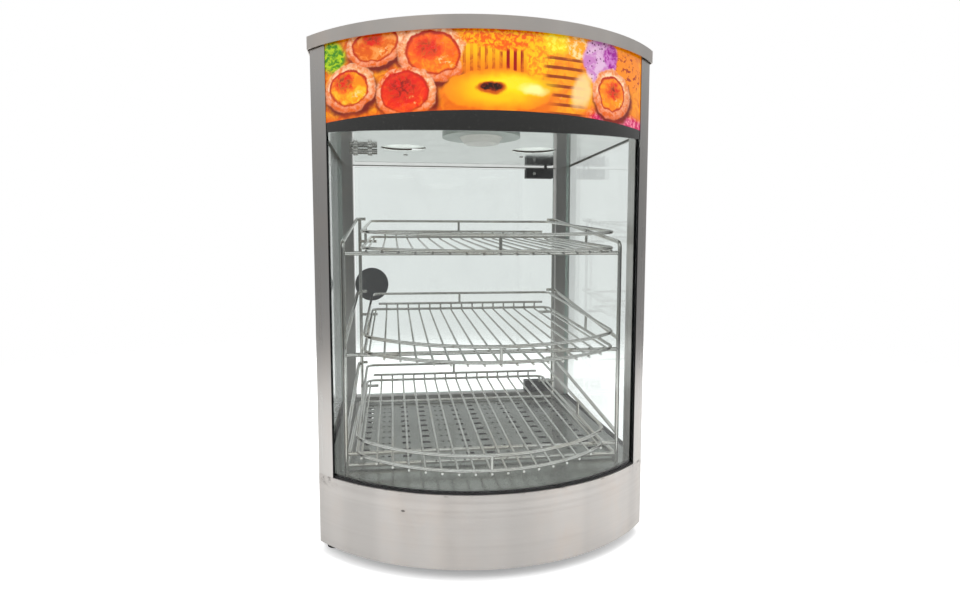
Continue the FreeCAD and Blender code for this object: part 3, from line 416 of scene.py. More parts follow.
# ---------------------------------------------------------------- glass
def pane(name, facing_axis=None, tint=(0.955, 0.97, 0.965)):
    """Clear pane seen straight through, mirror-like at a slant, with green cut edges.

    facing_axis is the flat pane's thickness direction at rest; None means the curved front. The
    normal is the object's own, so the cut edges stay edges when the pane swings."""
    make = Shader(name)
    slant = make.node("LayerWeight")
    slant.inputs["Blend"].default_value = 0.5
    fifth = make.maths("POWER", slant.outputs["Facing"], 5.0)
    film = make.noise(make.stretched(16, 16, 11), 5.0, 0.6, 0.5)
    mirror = make.maths("ADD", make.maths("MULTIPLY", fifth, 0.9), 0.045)
    clear = make.node("BsdfTransparent")
    streak = make.between(film, 0.45, 0.8)
    make.feed(clear.inputs["Color"], make.mix(streak, tint, scaled(tint, 0.985)))
    gloss = make.node("BsdfGlossy")
    make.feed(gloss.inputs["Color"], (1.0, 1.0, 1.0))
    make.feed(gloss.inputs["Roughness"], make.between(film, 0.4, 0.8, 0.0, 0.035))
    body = make.node("MixShader")
    make.feed(body.inputs[0], mirror)
    make.feed(body.inputs[1], clear.outputs[0])
    make.feed(body.inputs[2], gloss.outputs[0])

    across = make.node("TexCoord").outputs["Normal"]
    if facing_axis is None:
        outward = make.vector("SUBTRACT", make.coords, (0.0, ARC_CENTRE_Y, 0.0))
        facing = make.vector("NORMALIZE", make.vector("MULTIPLY", outward, (1, 1, 0)))
    else:
        facing = facing_axis
    face_on = make.maths("ABSOLUTE", make.vector("DOT_PRODUCT", across, facing))
    edge = make.between(face_on, 0.5, 0.8, 1.0, 0.0)
    ground = make.noise(make.stretched(900, 900, 900), 2.0)
    make.set(Base_Color=make.mix(make.between(ground, 0.3, 0.7), (0.3, 0.4, 0.36), (0.46, 0.54, 0.5)))
    make.set(Roughness=make.between(ground, 0.3, 0.7, 0.25, 0.5))
    whole = make.node("MixShader")
    make.feed(whole.inputs[0], make.maths("MULTIPLY", edge, 0.8))
    make.feed(whole.inputs[1], body.outputs[0])
    make.feed(whole.inputs[2], make.surface.outputs[0])
    out = make.tree.nodes["Material Output"]
    make.feed(out.inputs["Surface"], whole.outputs[0])
    return make


LENS_RING_PITCH = 2.8 * MM


def lamp_glass():
    """Frosted disc with shallow rings pressed into it."""
    make = Shader("lamp_frosted_glass")
    centre = middle("lamp_lens")
    away = make.vector("SUBTRACT", make.coords, (centre.x, centre.y, 0.0))
    radius = make.vector("LENGTH", make.vector("MULTIPLY", away, (1, 1, 0)))
    rings = make.maths("SINE", make.maths("MULTIPLY", radius, 2 * math.pi / LENS_RING_PITCH))
    frost = make.noise(make.stretched(1500, 1500, 1500), 2.0)
    make.set(Base_Color=make.mix(make.between(frost, 0.3, 0.7), (0.76, 0.76, 0.73), (0.66, 0.66, 0.63)),
             Roughness=make.between(frost, 0.3, 0.7, 0.25, 0.4))
    make.surface.inputs["Transmission Weight"].default_value = 0.35
    make.surface.inputs["Emission Color"].default_value = (1.0, 0.96, 0.88, 1)
    make.surface.inputs["Emission Strength"].default_value = 0.08
    make.bump(rings, 0.5, 0.0005)
    return make


# ---------------------------------------------------------------- the printed food picture
class Picture(Shader):
    """Paints overlapping shapes on the panel, in millimetres: across from the middle, and up."""

    def __init__(self, name):
        super().__init__(name)
        flat = self.vector("MULTIPLY", self.coords, (1000, 0, 1000))
        bend = self.node("TexNoise", noise_dimensions="3D")
        self.feed(bend.inputs["Vector"], self.stretched(75, 0, 75))
        bend.inputs["Scale"].default_value = 1.0
        bend.inputs["Detail"].default_value = 3.0
        shift = self.vector("SUBTRACT", bend.outputs["Color"], (0.5, 0.5, 0.5))
        self.flat = self.vector("ADD", flat, self.vector("MULTIPLY", shift, (9, 0, 9)))
        self.straight = flat
        self.mottle = self.noise(self.stretched(210, 0, 210), 5.0, 0.62, 0.6)
        self.patches = self.noise(self.stretched(90, 0, 90), 4.0, 0.6, 1.0)
        self.image = None

    def field(self, x, z, half_width, half_height, turn=0.0):
        """0 at the shape's middle, 1 on its outline."""
        offset = self.vector("SUBTRACT", self.flat, (x, 0, z))
        if turn:
            spin = self.node("VectorRotate", rotation_type="Y_AXIS")
            self.feed(spin.inputs["Vector"], offset)
            spin.inputs["Angle"].default_value = math.radians(turn)
            offset = spin.outputs[0]
        return self.vector("LENGTH", self.vector("MULTIPLY", offset, (1 / half_width, 0, 1 / half_height)))

    def lay(self, mask, colour):
        self.image = self.mix(mask, self.image, colour)

    def shape(self, field, colour, soft=0.06, strength=1.0):
        self.lay(self.between(field, 1 - soft, 1 + soft, strength, 0.0), colour)

    def flecked(self, first, second, start=0.4, end=0.6):
        return self.mix(self.between(self.mottle, start, end), first, second)

    def patched(self, first, second, start=0.35, end=0.65):
        return self.mix(self.between(self.patches, start, end), first, second)

    def stripes(self, pitch, axis, thick):
        """1 on bands that repeat along an axis (0 across, 2 up)."""
        place = self.split(self.straight)[axis]
        wave = self.maths("SINE", self.maths("MULTIPLY", place, 2 * math.pi / pitch))
        return self.between(wave, 1 - 2 * thick - 0.3, 1 - 2 * thick + 0.3)


PEACH, CRUST, CRUST_LIGHT = paint(216, 112, 62), paint(242, 178, 132), paint(255, 226, 196)
DEEP_RED, RED, ORANGE = paint(150, 22, 6), paint(226, 40, 10), paint(250, 116, 28)
AMBER, YELLOW, PALE_YELLOW = paint(255, 178, 50), paint(255, 206, 32), paint(255, 236, 120)
BROWN, DARK_BROWN, CREAM = paint(140, 50, 12), paint(62, 20, 8), paint(255, 226, 180)


def tart(picture, x, z, half_width, half_height, heart, fill, glow, turn=0.0, thick=0.24):
    """Open custard tart: flaky rim, scorched heart off its middle, bright glaze, shaded underside.

    heart is how far the scorched spot lies across and up from the middle, and its share of the size."""
    shadow = picture.field(x + 1.5, z - half_height * 0.18, half_width * 1.06, half_height * 1.05, turn)
    picture.shape(shadow, paint(128, 30, 8), 0.1, 0.95)
    rim = picture.field(x, z, half_width, half_height, turn)
    flakes = picture.flecked(CRUST, CRUST_LIGHT, 0.38, 0.62)
    lift = picture.maths("SUBTRACT", picture.split(picture.flat)[2], z)
    scorched = picture.between(lift, -half_height * 0.9, half_height * 0.5, 1.0, 0.0)
    flakes = picture.mix(picture.maths("MULTIPLY", scorched, 0.5), flakes, paint(222, 84, 34))
    picture.shape(rim, flakes, 0.05)
    ridge = picture.between(rim, 1 - thick * 0.75, 1 - thick * 0.2, 0.0, 1.0)
    outer = picture.between(rim, 0.96, 1.0, 1.0, 0.0)
    picture.lay(picture.maths("MULTIPLY", picture.maths("MULTIPLY", ridge, outer), 0.35), paint(214, 92, 40))
    inner = picture.field(x - 1, z + 1, half_width * (1 - thick), half_height * (1 - thick), turn)
    custard = picture.patched(fill, glow, 0.4, 0.62)
    picture.shape(inner, paint(190, 44, 12), 0.05)
    pool = picture.field(x - 1, z + 0.4, half_width * (0.93 - thick), half_height * (0.92 - thick), turn)
    picture.shape(pool, custard, 0.08)
    dx, dz, share = heart
    burnt = picture.field(x + dx, z + dz, half_width * share, half_height * share, turn)
    heat = picture.between(burnt, 0.55, 1.25, 1.0, 0.0)
    blotch = picture.between(picture.mottle, 0.36, 0.6, 1.0, 0.35)
    picture.lay(picture.maths("MULTIPLY", heat, blotch), RED)
    core = picture.between(burnt, 0.1, 0.9, 1.0, 0.0)
    picture.lay(picture.maths("MULTIPLY", core, picture.between(picture.mottle, 0.42, 0.62)), DEEP_RED)
    shine = picture.field(x + half_width * 0.3, z - half_height * 0.3,
                          half_width * 0.34, half_height * 0.24, turn)
    picture.lay(picture.maths("MULTIPLY", picture.between(shine, 0.3, 1.1, 0.8, 0.0),
                              picture.between(picture.mottle, 0.5, 0.62)), CREAM)


def food_picture():
    """Bakery picture printed on the canopy: tarts, a muffin, a bun, fruit and a wire tray.

    The kinds of food and their places follow the print in the photograph; the drawing is new."""
    art = Picture("canopy_print")
    across = art.split(art.flat)[0]
    up = art.split(art.flat)[2]
    art.image = art.patched(PEACH, paint(244, 176, 96))
    art.lay(art.between(across, 30, 60), art.patched(AMBER, paint(236, 142, 44), end=0.7))

    leaf = art.field(-172, 571, 13, 17, 20)
    art.shape(leaf, art.flecked(paint(84, 150, 20), paint(190, 214, 70)), 0.25)

    tart(art, -125, 576, 32, 22, (-4, 5, 0.4), paint(226, 118, 60), paint(246, 176, 120), 8)
    tart(art, -66, 563, 37, 28, (-6, 6, 0.45), ORANGE, paint(252, 170, 96), -10)

    # muffin: crumb on top of a pleated paper cup
    cup = art.field(8, 556, 46, 36)
    pleats = art.stripes(7.5, 0, 0.42)
    paper = art.mix(art.between(up, 540, 574), paint(236, 142, 34), paint(255, 206, 84))
    art.shape(cup, art.mix(art.maths("MULTIPLY", pleats, art.between(art.patches, 0.4, 0.58, 0.8, 0.3)),
                           paper, paint(196, 92, 24)), 0.06)
    jam = art.maths("MULTIPLY", art.between(art.field(14, 562, 13, 22), 0.7, 1.1, 1.0, 0.0), pleats)
    art.lay(jam, paint(170, 14, 8))
    crumb = art.field(8, 582, 50, 15)
    art.shape(crumb, art.flecked(paint(240, 116, 16), paint(255, 196, 60), 0.44), 0.12)
    flank = art.field(46, 564, 16, 24, -24)
    art.shape(flank, art.flecked(paint(248, 150, 22), paint(255, 206, 60)), 0.14)
    art.shape(art.field(66, 580, 17, 13), art.flecked(YELLOW, PALE_YELLOW), 0.3)
    art.shape(art.field(88, 577, 13, 15, 20), art.flecked(AMBER, CREAM, 0.42), 0.35)

    # wire tray behind the bun
    tray = art.maths("MULTIPLY", art.between(across, 44, 56), art.between(across, 88, 102, 1.0, 0.0))
    tray = art.maths("MULTIPLY", tray, art.between(up, 562, 568, 1.0, 0.0))
    art.lay(art.maths("MULTIPLY", tray, art.maths("MULTIPLY", art.stripes(9.5, 2, 0.26), 0.85)), BROWN)

    # yellow bun with a dark filled hole
    bun_shadow = art.field(0, 517, 62, 24)
    art.shape(bun_shadow, paint(232, 128, 24), 0.16, 0.9)
    bun = art.field(0, 526, 57, 21)
    art.shape(bun, art.mix(art.between(bun, 0.35, 1.0), YELLOW, paint(250, 158, 16)), 0.06)
    art.shape(art.field(16, 534, 38, 9), PALE_YELLOW, 0.55, 0.75)
    art.shape(art.field(38, 528, 14, 5), paint(255, 246, 190), 0.6, 0.8)
    art.shape(art.field(-8, 529, 16, 6.5), paint(206, 104, 10), 0.2)
    art.shape(art.field(-8, 529.5, 12, 4.4), art.flecked(DARK_BROWN, BROWN, 0.45), 0.15)

    tart(art, -154, 535, 28, 25, (-6, 7, 0.48), paint(252, 158, 62), paint(255, 206, 110))
    tart(art, -95, 525, 31, 27, (-3, 5, 0.78), paint(236, 58, 14), ORANGE, 0.0, 0.2)

    # speckled fruit, a cut slice and petals at the right
    fruit = art.field(116, 566, 22, 24)
    skin = art.patched(paint(226, 196, 220), paint(206, 150, 200), 0.4, 0.62)
    seeds = art.between(art.cells(art.stretched(260, 0, 260)), 0.2, 0.3, 0.85, 0.0)
    art.shape(fruit, art.mix(seeds, skin, paint(96, 24, 88)), 0.1)
    art.shape(art.field(132, 572, 11, 15, 15), art.flecked(paint(168, 60, 160), paint(214, 150, 208)), 0.2)
    cut_slice = art.field(159, 563, 21, 22, 12)
    art.shape(cut_slice, art.flecked(paint(250, 160, 30), paint(178, 70, 10), 0.52, 0.62), 0.08)
    art.shape(art.field(93, 532, 12, 19, -18), CREAM, 0.4, 0.8)
    petals = art.between(up, 508, 520, 1.0, 0.0)
    petals = art.maths("MULTIPLY", petals, art.between(across, 88, 116))
    art.lay(petals, art.flecked(paint(206, 40, 120), paint(246, 170, 190), 0.4, 0.62))
    tart(art, 134, 534, 27, 27, (2, 4, 0.42), paint(250, 148, 30), AMBER, 12, 0.3)

    # soft shading where the picture meets its lower edge, and print dots too fine to see from afar
    foot = art.between(up, 503, 512, 0.45, 0.0)
    art.lay(art.maths("MULTIPLY", foot, art.between(across, -60, 60, 1.0, 0.2)), paint(240, 120, 30))
    dots = art.between(art.cells(art.stretched(1800, 0, 1800)), 0.2, 0.5, 0.05, 0.0)
    art.lay(dots, (0.9, 0.9, 0.9))
    strong = art.node("Gamma")
    art.feed(strong.inputs["Color"], art.image)
    strong.inputs["Gamma"].default_value = 1.3
    rich = art.node("HueSaturation")
    art.feed(rich.inputs["Color"], strong.outputs[0])
    rich.inputs["Saturation"].default_value = 1.08
    rich.inputs["Value"].default_value = 0.88
    art.image = rich.outputs[0]
    art.set(Base_Color=art.image)
    wipe = art.noise(art.stretched(26, 26, 26), 4.0, 0.6)
    art.set(Roughness=art.between(wipe, 0.35, 0.75, 0.16, 0.3))
    art.feed(art.surface.inputs["Emission Color"], art.image)
    art.surface.inputs["Emission Strength"].default_value = 0.12
    art.surface.inputs["Coat Weight"].default_value = 0.35
    art.surface.inputs["Coat Roughness"].default_value = 0.08
    art.bump(art.noise(art.stretched(10, 10, 6), 1.0), 0.1, 0.001)
    return art


# ---------------------------------------------------------------- materials on the CAD nodes
def dress(make, *names):
    for name in names:
        data = NODES[name].data
        data.materials.clear()
        data.materials.append(make.material)


STEEL = (0.62, 0.605, 0.585)
MATERIALS = {
    "posts": brushed("post_satin", (0.7, 0.685, 0.665), UPRIGHT_GRAIN, 0.27, 0.33, False, 0.25),
    "lid": brushed("lid_satin", (0.74, 0.7, 0.66), ALONG_X, 0.32, 0.36),
    "panels": brushed("panel_satin", STEEL, ALONG_X, 0.32, 0.35),
    # rear posts and sill: the front posts' satin steel painted darker as shade
    "dark": brushed("rear_satin_painted_shade", (0.52, 0.51, 0.5), UPRIGHT_GRAIN, 0.28, 0.34, False, 0.25),
    "under": soot_and_shade("underside_oxide_and_shade", (0.012, 0.012, 0.011)),
    "base": base_sheet(),
    "ceiling": polished("ceiling_mirror", (0.9, 0.91, 0.9)),
    "pans": vent_pan(),
    "deck": deck_sheet(),
    "wire": wire_chrome(),
    "plated": plated("screw_plating"),
    "shield": soot_and_shade("shield_oxide_and_shade", (0.01, 0.01, 0.009)),
    "heater": heater(),
    "bulb_tube": plated("sensor_tube", (0.45, 0.44, 0.42)),
    "black": moulded("moulded_black", (0.02, 0.02, 0.021)),
    "handle": moulded("handle_black", (0.075, 0.075, 0.078), 0.5, 700),
    "mark": enamel("mark_white", (0.78, 0.78, 0.76)),
    "bezel": enamel("bezel_grey_green", (0.36, 0.4, 0.37)),
    "clip": moulded("clip_black", (0.012, 0.012, 0.013), 0.34),
    "rubber": rubber("rubber_black"),
    "seal": rubber("seal_black", 0.2),
    "trim": gloss_trim(),
    "enamel": enamel("strip_enamel", (0.82, 0.82, 0.79)),
    "nylon": moulded("bush_nylon", (0.66, 0.64, 0.58), 0.4, 900, 0.1),
    "rocker": translucent("rocker_red", (0.62, 0.02, 0.015), 0.22, 0.15, 0.05),
    "pilot": translucent("pilot_red", (0.8, 0.02, 0.01), 0.12, 0.5, 0.1),
    "bulb": translucent("bulb_opal", (0.86, 0.85, 0.8), 0.3, 0.4),
    "lens": lamp_glass(),
    "print": food_picture(),
    "front_pane": pane("front_pane"),
    "side_pane": pane("side_pane", (1, 0, 0)),
    "door_pane": pane("door_pane", (0, 1, 0), (0.95, 0.968, 0.962)),
}
FINISHES = {
    "posts": ("front_post_left", "front_post_right"),
    "dark": ("rear_post_left", "rear_post_right", "rear_sill"),
    "lid": ("lid_cap",),
    "panels": ("canopy_side_panels", "canopy_rear_panel", "base_rear_panel"),
    "base": ("base_plinth_shell",),
    "under": ("base_bottom_pan",),
    "bezel": ("lamp_bezel",),
    "ceiling": ("ceiling_plate",),
    "pans": ("ceiling_vent_pans",),
    "deck": ("deck_plate",),
    "wire": ("rack_side_left", "rack_side_right", "rack_cross_bars",
             "lower_shelf_grid", "middle_shelf_grid", "upper_shelf_grid",
             "lower_shelf_guard_rail", "middle_shelf_guard_rail", "upper_shelf_guard_rail"),
    "plated": ("case_screws", "door_hinge_bolts", "sensor_bulb_clips", "lamp_holder"),
    "shield": ("heat_shield",),
    "heater": ("heating_element",),
    "bulb_tube": ("thermostat_sensor_bulb",),
    "black": ("thermostat_knob", "thermostat_body", "power_switch_housing", "lamp_switch_housing",
              "terminal_block"),
    "handle": ("door_handle", "door_handle_inner_disc"),
    "clip": ("door_hinge_top", "door_hinge_bottom"),
    "rubber": ("rubber_feet", "cable_gland"),
    "seal": ("front_glass_gasket", "front_glass_side_seals", "side_glass_gaskets"),
    "trim": ("canopy_lower_trim",),
    "enamel": ("canopy_light_strips",),
    "nylon": ("door_pivot_bushes",),
    "rocker": ("power_switch_rocker", "lamp_switch_rocker"),
    "pilot": ("indicator_lamp",),
    "bulb": ("lamp_bulb",),
    "lens": ("lamp_lens",),
    "print": ("canopy_graphic_panel",),
    "front_pane": ("front_glass",),
    "side_pane": ("side_glass_left", "side_glass_right"),
    "door_pane": ("door_glass",),
}
for finish, names in FINISHES.items():
    dress(MATERIALS[finish], *names)


# ---------------------------------------------------------------- small pieces with finer shapes
FACING_REAR = Matrix.Rotation(-math.pi / 2, 4, "X")
FACING_DOWN = Matrix.Rotation(math.pi, 4, "X")


def separate_boxes(node):
    """Lowest and highest corner of each separate solid of a node."""
    shape = bmesh.new()
    shape.from_mesh(NODES[node].data)
    bmesh.ops.remove_doubles(shape, verts=shape.verts, dist=1e-6)
    waiting = set(shape.verts)
    boxes = []
    while waiting:
        front = [waiting.pop()]
        places = []
        while front:
            vert = front.pop()
            places.append(vert.co.copy())
            near = {edge.other_vert(vert) for edge in vert.link_edges} & waiting
            waiting -= near
            front.extend(near)
        boxes.append((Vector([min(place[axis] for place in places) for axis in range(3)]),
                      Vector([max(place[axis] for place in places) for axis in range(3)])))
    shape.free()
    return sorted(boxes, key=lambda pair: tuple(pair[0]))


def turned(shape, place, profile, turns=48, form=None, loop=False):
    """Add a turned solid. profile holds (radius, along) pairs; form(angle, step, radius, along) bends it."""
    rings = []
    for step, (radius, along) in enumerate(profile):
        ring = []
        for turn in range(turns if radius else 1):
            angle = 2 * math.pi * turn / turns
            wide, tall = form(angle, step, radius, along) if form else (radius, along)
            point = Vector((wide * math.cos(angle), wide * math.sin(angle), tall))
            ring.append(shape.verts.new(place @ point))
        rings.append(ring)
    following = rings[1:] + (rings[:1] if loop else [])
    for first, second in zip(rings, following):
        for turn in range(turns):
            after = (turn + 1) % turns
            corners = [first[turn % len(first)], first[after % len(first)],
                       second[after % len(second)], second[turn % len(second)]]
            face = shape.faces.new(list(dict.fromkeys(corners)))
            face.smooth = True


def raised_mark(shape, place, turn, near, length, half_width, foot, top):
    """Add a mark that runs outward from the axis, with eased upper edges, in the second finish."""
    spin = place @ Matrix.Rotation(turn, 4, "Z")
    rings = []
    for along, ease in ((foot, 0.0), (top - 0.08 * MM, 0.0), (top, 0.08 * MM)):
        wide = half_width - ease
        outline = ((-wide, near + ease), (wide, near + ease), (wide, near + length - ease),
                   (-wide, near + length - ease))
        rings.append([shape.verts.new(spin @ Vector((x, -y, along))) for x, y in outline])
    faces = [shape.faces.new(rings[0]), shape.faces.new(rings[-1])]
    for first, second in zip(rings, rings[1:]):
        for corner in range(4):
            after = (corner + 1) % 4
            faces.append(shape.faces.new((first[corner], first[after], second[after], second[corner])))
    for face in faces:
        face.material_index = 1


def stand_in(name, shape, finishes, body, node):
    """Make an object of a shape that stands for a CAD node."""
    bmesh.ops.recalc_face_normals(shape, faces=shape.faces)
    mesh = bpy.data.meshes.new(name)
    shape.to_mesh(mesh)
    shape.free()
    mesh.set_sharp_from_angle(angle=math.radians(40))
    for finish in finishes:
        mesh.materials.append(MATERIALS[finish].material)
    made = bpy.data.objects.new(name, mesh)
    scene.collection.objects.link(made)
    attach(made, body)
    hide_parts(node)


def fluted_knob():
    """Skirted thermostat knob with a fluted grip, a pointer and a scale of plain ticks."""
    lowest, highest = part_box("thermostat_knob")
    radius = (highest.x - lowest.x) / 2
    centre = middle("thermostat_knob")
    back = BACK_Y - lowest.y
    top = highest.y - lowest.y
    place = Matrix.Translation((centre.x, lowest.y, centre.z)) @ FACING_REAR
    grip = radius - 4 * MM
    spindle = 3 * MM
    flutes = 18
    flute_depth = 0.9 * MM
    ticks = 19
    ticks_start, tick_step = -135, 15       # degrees
    profile = [(0, 0), (spindle, 0), (spindle, back), (radius - 0.5 * MM, back),
               (radius, back + 0.5 * MM), (radius, back + 3 * MM), (radius - 0.9 * MM, back + 3.9 * MM),
               (grip + 0.6 * MM, back + 4.2 * MM),
               (grip, back + 5 * MM), (grip, top - 1.8 * MM), (grip - 0.6 * MM, top - 0.6 * MM),
               (grip - 1.6 * MM, top), (grip - 3 * MM, top - 0.2 * MM), (grip * 0.4, top - 0.7 * MM),
               (0, top - 0.8 * MM)]

    def fluting(angle, step, wide, tall):
        on_grip = 8 <= step <= 10           # the grip's three points of the profile
        depth = flute_depth if on_grip else 0.0
        return wide - depth * (0.5 + 0.5 * math.cos(flutes * angle)) ** 2, tall

    shape = bmesh.new()
    turned(shape, place, profile, 144, fluting)
    raised_mark(shape, place, 0.0, 3 * MM, grip - 5.2 * MM, 0.6 * MM, top - 1.4 * MM, top - 0.05 * MM)
    for tick in range(ticks):
        turn = math.radians(ticks_start + tick_step * tick)
        long_tick = tick % 3 == 0
        length = 1.9 * MM if long_tick else 1.1 * MM
        raised_mark(shape, place, turn, radius - 1.1 * MM - length, length, 0.2 * MM, back + 3.6 * MM,
                    back + 4.35 * MM)
    stand_in("knob_fluted", shape, ("black", "mark"), "thermostat_knob", "thermostat_knob")


def pilot_dome():
    """Domed pilot lens with a collar."""
    lowest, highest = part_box("indicator_lamp")
    radius = (highest.x - lowest.x) / 2
    centre = middle("indicator_lamp")
    back, top = BACK_Y - lowest.y, highest.y - lowest.y
    place = Matrix.Translation((centre.x, lowest.y, centre.z)) @ FACING_REAR
    stem = radius * 0.7
    dome = radius * 0.82
    collar_top = back + 1.0 * MM
    profile = [(0, 0), (stem, 0), (stem, back), (radius, back), (radius, back + 0.7 * MM),
               (radius * 0.9, collar_top), (dome, collar_top)]
    steps = 8
    for step in range(1, steps):
        angle = math.pi / 2 * step / steps
        profile.append((dome * math.cos(angle), collar_top + (top - collar_top) * math.sin(angle)))
    profile.append((0, top))
    shape = bmesh.new()
    turned(shape, place, profile)
    stand_in("pilot_dome", shape, ("pilot",), "cabinet", "indicator_lamp")


def hex_gland():
    """Cable gland: six-sided nut, ribbed dome and the bore the cord comes through."""
    lowest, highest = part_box("cable_gland")
    radius = (highest.x - lowest.x) / 2
    centre = middle("cable_gland")
    back, top = BACK_Y - lowest.y, highest.y - lowest.y
    bore = 3.5 * MM
    nut = back + (top - back) * 0.36
    place = Matrix.Translation((centre.x, lowest.y, centre.z)) @ FACING_REAR
    stem = 6.1 * MM
    ridge, groove = radius * 0.86, radius * 0.8
    ribs = 3
    profile = [(bore, 0), (stem, 0), (stem, back), (radius, back + 0.02 * MM), (radius, nut),
               (ridge, nut + 0.4 * MM)]
    for rib in range(ribs):
        foot = nut + 0.4 * MM + (top - nut - 2.4 * MM) * rib / ribs
        profile += [(ridge, foot + 0.8 * MM), (groove, foot + 1.1 * MM)]
    profile += [(radius * 0.74, top - 1.2 * MM), (radius * 0.6, top - 0.2 * MM), (bore + 0.6 * MM, top),
                (bore, top - 0.5 * MM)]

    def six_sides(angle, step, wide, tall):
        if step not in (3, 4):              # the nut's two points of the profile
            return wide, tall
        off = (angle % (math.pi / 3)) - math.pi / 6
        return wide * math.cos(math.pi / 6) / math.cos(off), tall

    shape = bmesh.new()
    turned(shape, place, profile, 72, six_sides, True)
    stand_in("gland_hex", shape, ("rubber",), "cabinet", "cable_gland")


def crossed_screws():
    """Pan-head screws with a cross recess, each where its CAD solid is."""
    shape = bmesh.new()
    for lowest, highest in separate_boxes("case_screws"):
        size = highest - lowest
        centre = (lowest + highest) / 2
        level = size.z < max(size.x, size.y)
        radius = size.x / 2
        if level:
            place = Matrix.Translation((centre.x, highest.y, centre.z)) @ FACING_REAR
            length = size.y
        else:
            place = Matrix.Translation((centre.x, centre.y, lowest.z)) @ FACING_DOWN
            length = size.z
        head = 1.8 * MM if radius < 3.6 * MM else 2.5 * MM
        shank = radius * 0.47
        slot_half_width, slot_half_length = 0.17 * radius, 0.58 * radius
        fractions = (0.08, 0.15, 0.2, 0.3, 0.42, 0.55, 0.6, 0.66, 0.8, 0.93)
        profile = [(0, -0.45 * head)] + [(radius * part, -0.35 * head * part ** 2) for part in fractions]
        profile += [(radius, -0.55 * head), (radius, -head), (shank, -head), (shank, -length), (0, -length)]

        def recess(angle, step, wide, tall):
            x, y = abs(wide * math.cos(angle)), abs(wide * math.sin(angle))
            in_cross = min(x, y) < slot_half_width and max(x, y) < slot_half_length
            pressed = 0 < step <= len(fractions) and in_cross
            return wide, tall - (0.4 * head if pressed else 0.0)

        turned(shape, place, profile, 48, recess)
    stand_in("screws_crossed", shape, ("plated",), "cabinet", "case_screws")


fluted_knob()
pilot_dome()
hex_gland()
crossed_screws()


# ---------------------------------------------------------------- camera, light and floor
CAMERA_PLACE = Vector((-0.11045, -0.90582, 0.36918))
CAMERA_TURN = 0.1354            # radians towards +X
CAMERA_DIP = 0.0875             # radians below the horizon
SENSOR = 36.0                   # mm
LENS = 24.04                    # mm

camera_data = bpy.data.cameras.new("camera")
camera_data.sensor_width = SENSOR
camera_data.lens = LENS
camera_data.clip_start = 0.01
camera = bpy.data.objects.new("camera", camera_data)
scene.collection.objects.link(camera)
aim = Vector((math.sin(CAMERA_TURN) * math.cos(CAMERA_DIP), math.cos(CAMERA_TURN) * math.cos(CAMERA_DIP),
              -math.sin(CAMERA_DIP)))
camera.location = CAMERA_PLACE
camera.rotation_mode = "QUATERNION"
camera.rotation_quaternion = aim.to_track_quat("-Z", "Y")
scene.camera = camera


def softbox(name, place, target, width, power):
    """Soft area lamp that lights surfaces without showing in their reflections."""
    data = bpy.data.lights.new(name, "AREA")
    data.size = width
    data.energy = power
    lamp = bpy.data.objects.new(name, data)
    scene.collection.objects.link(lamp)
    lamp.location = place
    lamp.rotation_mode = "QUATERNION"
    lamp.rotation_quaternion = (Vector(target) - Vector(place)).to_track_quat("-Z", "Y")
    lamp.visible_camera = False
    lamp.visible_glossy = False


# name, place, target, width in metres, power in watts
softbox("key_softbox", (-1.3, -1.9, 1.9), (0, 0, 0.3), 1.6, 34)
softbox("fill_softbox", (1.7, -1.3, 1.3), (0, 0, 0.25), 1.4, 16)
softbox("rear_softbox", (0.4, 1.9, 1.5), (0, 0, 0.3), 1.4, 20)
softbox("top_softbox", (0.0, 0.0, 2.3), (0, 0, 0), 1.8, 20)


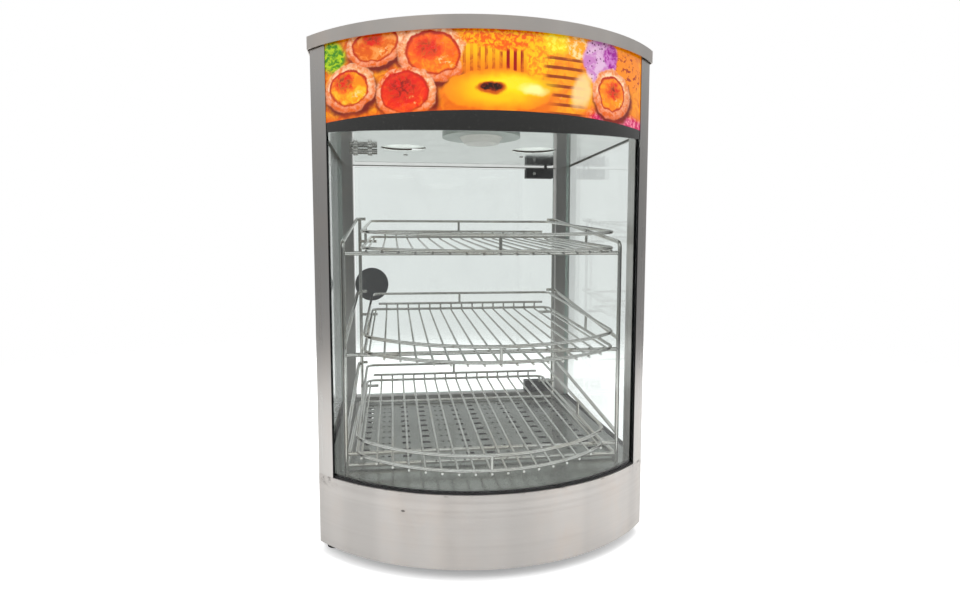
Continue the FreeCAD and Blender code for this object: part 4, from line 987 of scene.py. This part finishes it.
def studio_world():
    """White to look at. As light: bright overhead, pale behind, dark at the horizon elsewhere."""
    world = bpy.data.worlds.new("studio")
    world.use_nodes = True
    scene.world = world
    tree = world.node_tree
    tree.nodes.clear()
    helper = Nodes(tree)
    direction = helper.node("TexCoord").outputs["Generated"]
    parts = helper.split(direction)
    height = helper.maths("MULTIPLY_ADD", parts[2], 0.5, 0.5)
    room = helper.ramp(height, (0.0, (0.5,) * 3), (0.44, (0.2,) * 3), (0.5, (0.15,) * 3), (0.56, (0.2,) * 3),
                       (0.66, (0.5,) * 3), (0.8, (0.9,) * 3), (1.0, (1.1,) * 3))
    sideways = helper.maths("POWER", helper.maths("ABSOLUTE", parts[0]), 2.0)
    lit = helper.mix(helper.maths("MULTIPLY", sideways, 0.2), room, (0.85, 0.85, 0.85))
    sweep_across = helper.between(parts[1], 0.62, 0.82)
    sweep_up = helper.between(parts[2], 0.12, 0.22, 1.0, 0.0)
    studio = helper.mix(helper.maths("MULTIPLY", sweep_across, sweep_up), lit, (0.82, 0.82, 0.81))
    seen = helper.node("LightPath").outputs["Is Camera Ray"]
    light = helper.node("Background")
    helper.feed(light.inputs["Color"], helper.mix(seen, studio, (1.0, 1.0, 1.0)))
    out = helper.node("OutputWorld")
    helper.feed(out.inputs["Surface"], light.outputs[0])


studio_world()

FLOOR_RADIUS = 1.9
floor_mesh = bpy.data.meshes.new("floor")
shape = bmesh.new()
bmesh.ops.create_circle(shape, cap_ends=True, segments=96, radius=FLOOR_RADIUS)
shape.to_mesh(floor_mesh)
shape.free()
floor = bpy.data.objects.new("floor", floor_mesh)
scene.collection.objects.link(floor)
floor_paint = Shader("floor_paper")
fibre = floor_paint.noise(floor_paint.stretched(60, 60, 60), 4.0)
paper = floor_paint.mix(fibre, (0.93, 0.93, 0.93), (0.9, 0.9, 0.9))
mirrored = floor_paint.node("LightPath").outputs["Is Glossy Ray"]
floor_paint.set(Base_Color=floor_paint.mix(mirrored, paper, (0.66, 0.655, 0.65)), Roughness=0.8,
                Emission_Color=floor_paint.mix(mirrored, (1.0, 1.0, 1.0), (0.0, 0.0, 0.0)))
floor_paint.surface.inputs["Emission Strength"].default_value = 0.32
reach = floor_paint.vector("LENGTH", floor_paint.coords)
floor_paint.set(Alpha=floor_paint.between(reach, 0.9, FLOOR_RADIUS - 0.1, 1.0, 0.0))
floor_mesh.materials.append(floor_paint.material)

scene.view_settings.view_transform = "Standard"
scene.view_settings.look = "None"
scene.cycles.max_bounces = 14
scene.cycles.transparent_max_bounces = 24
scene.cycles.glossy_bounces = 8
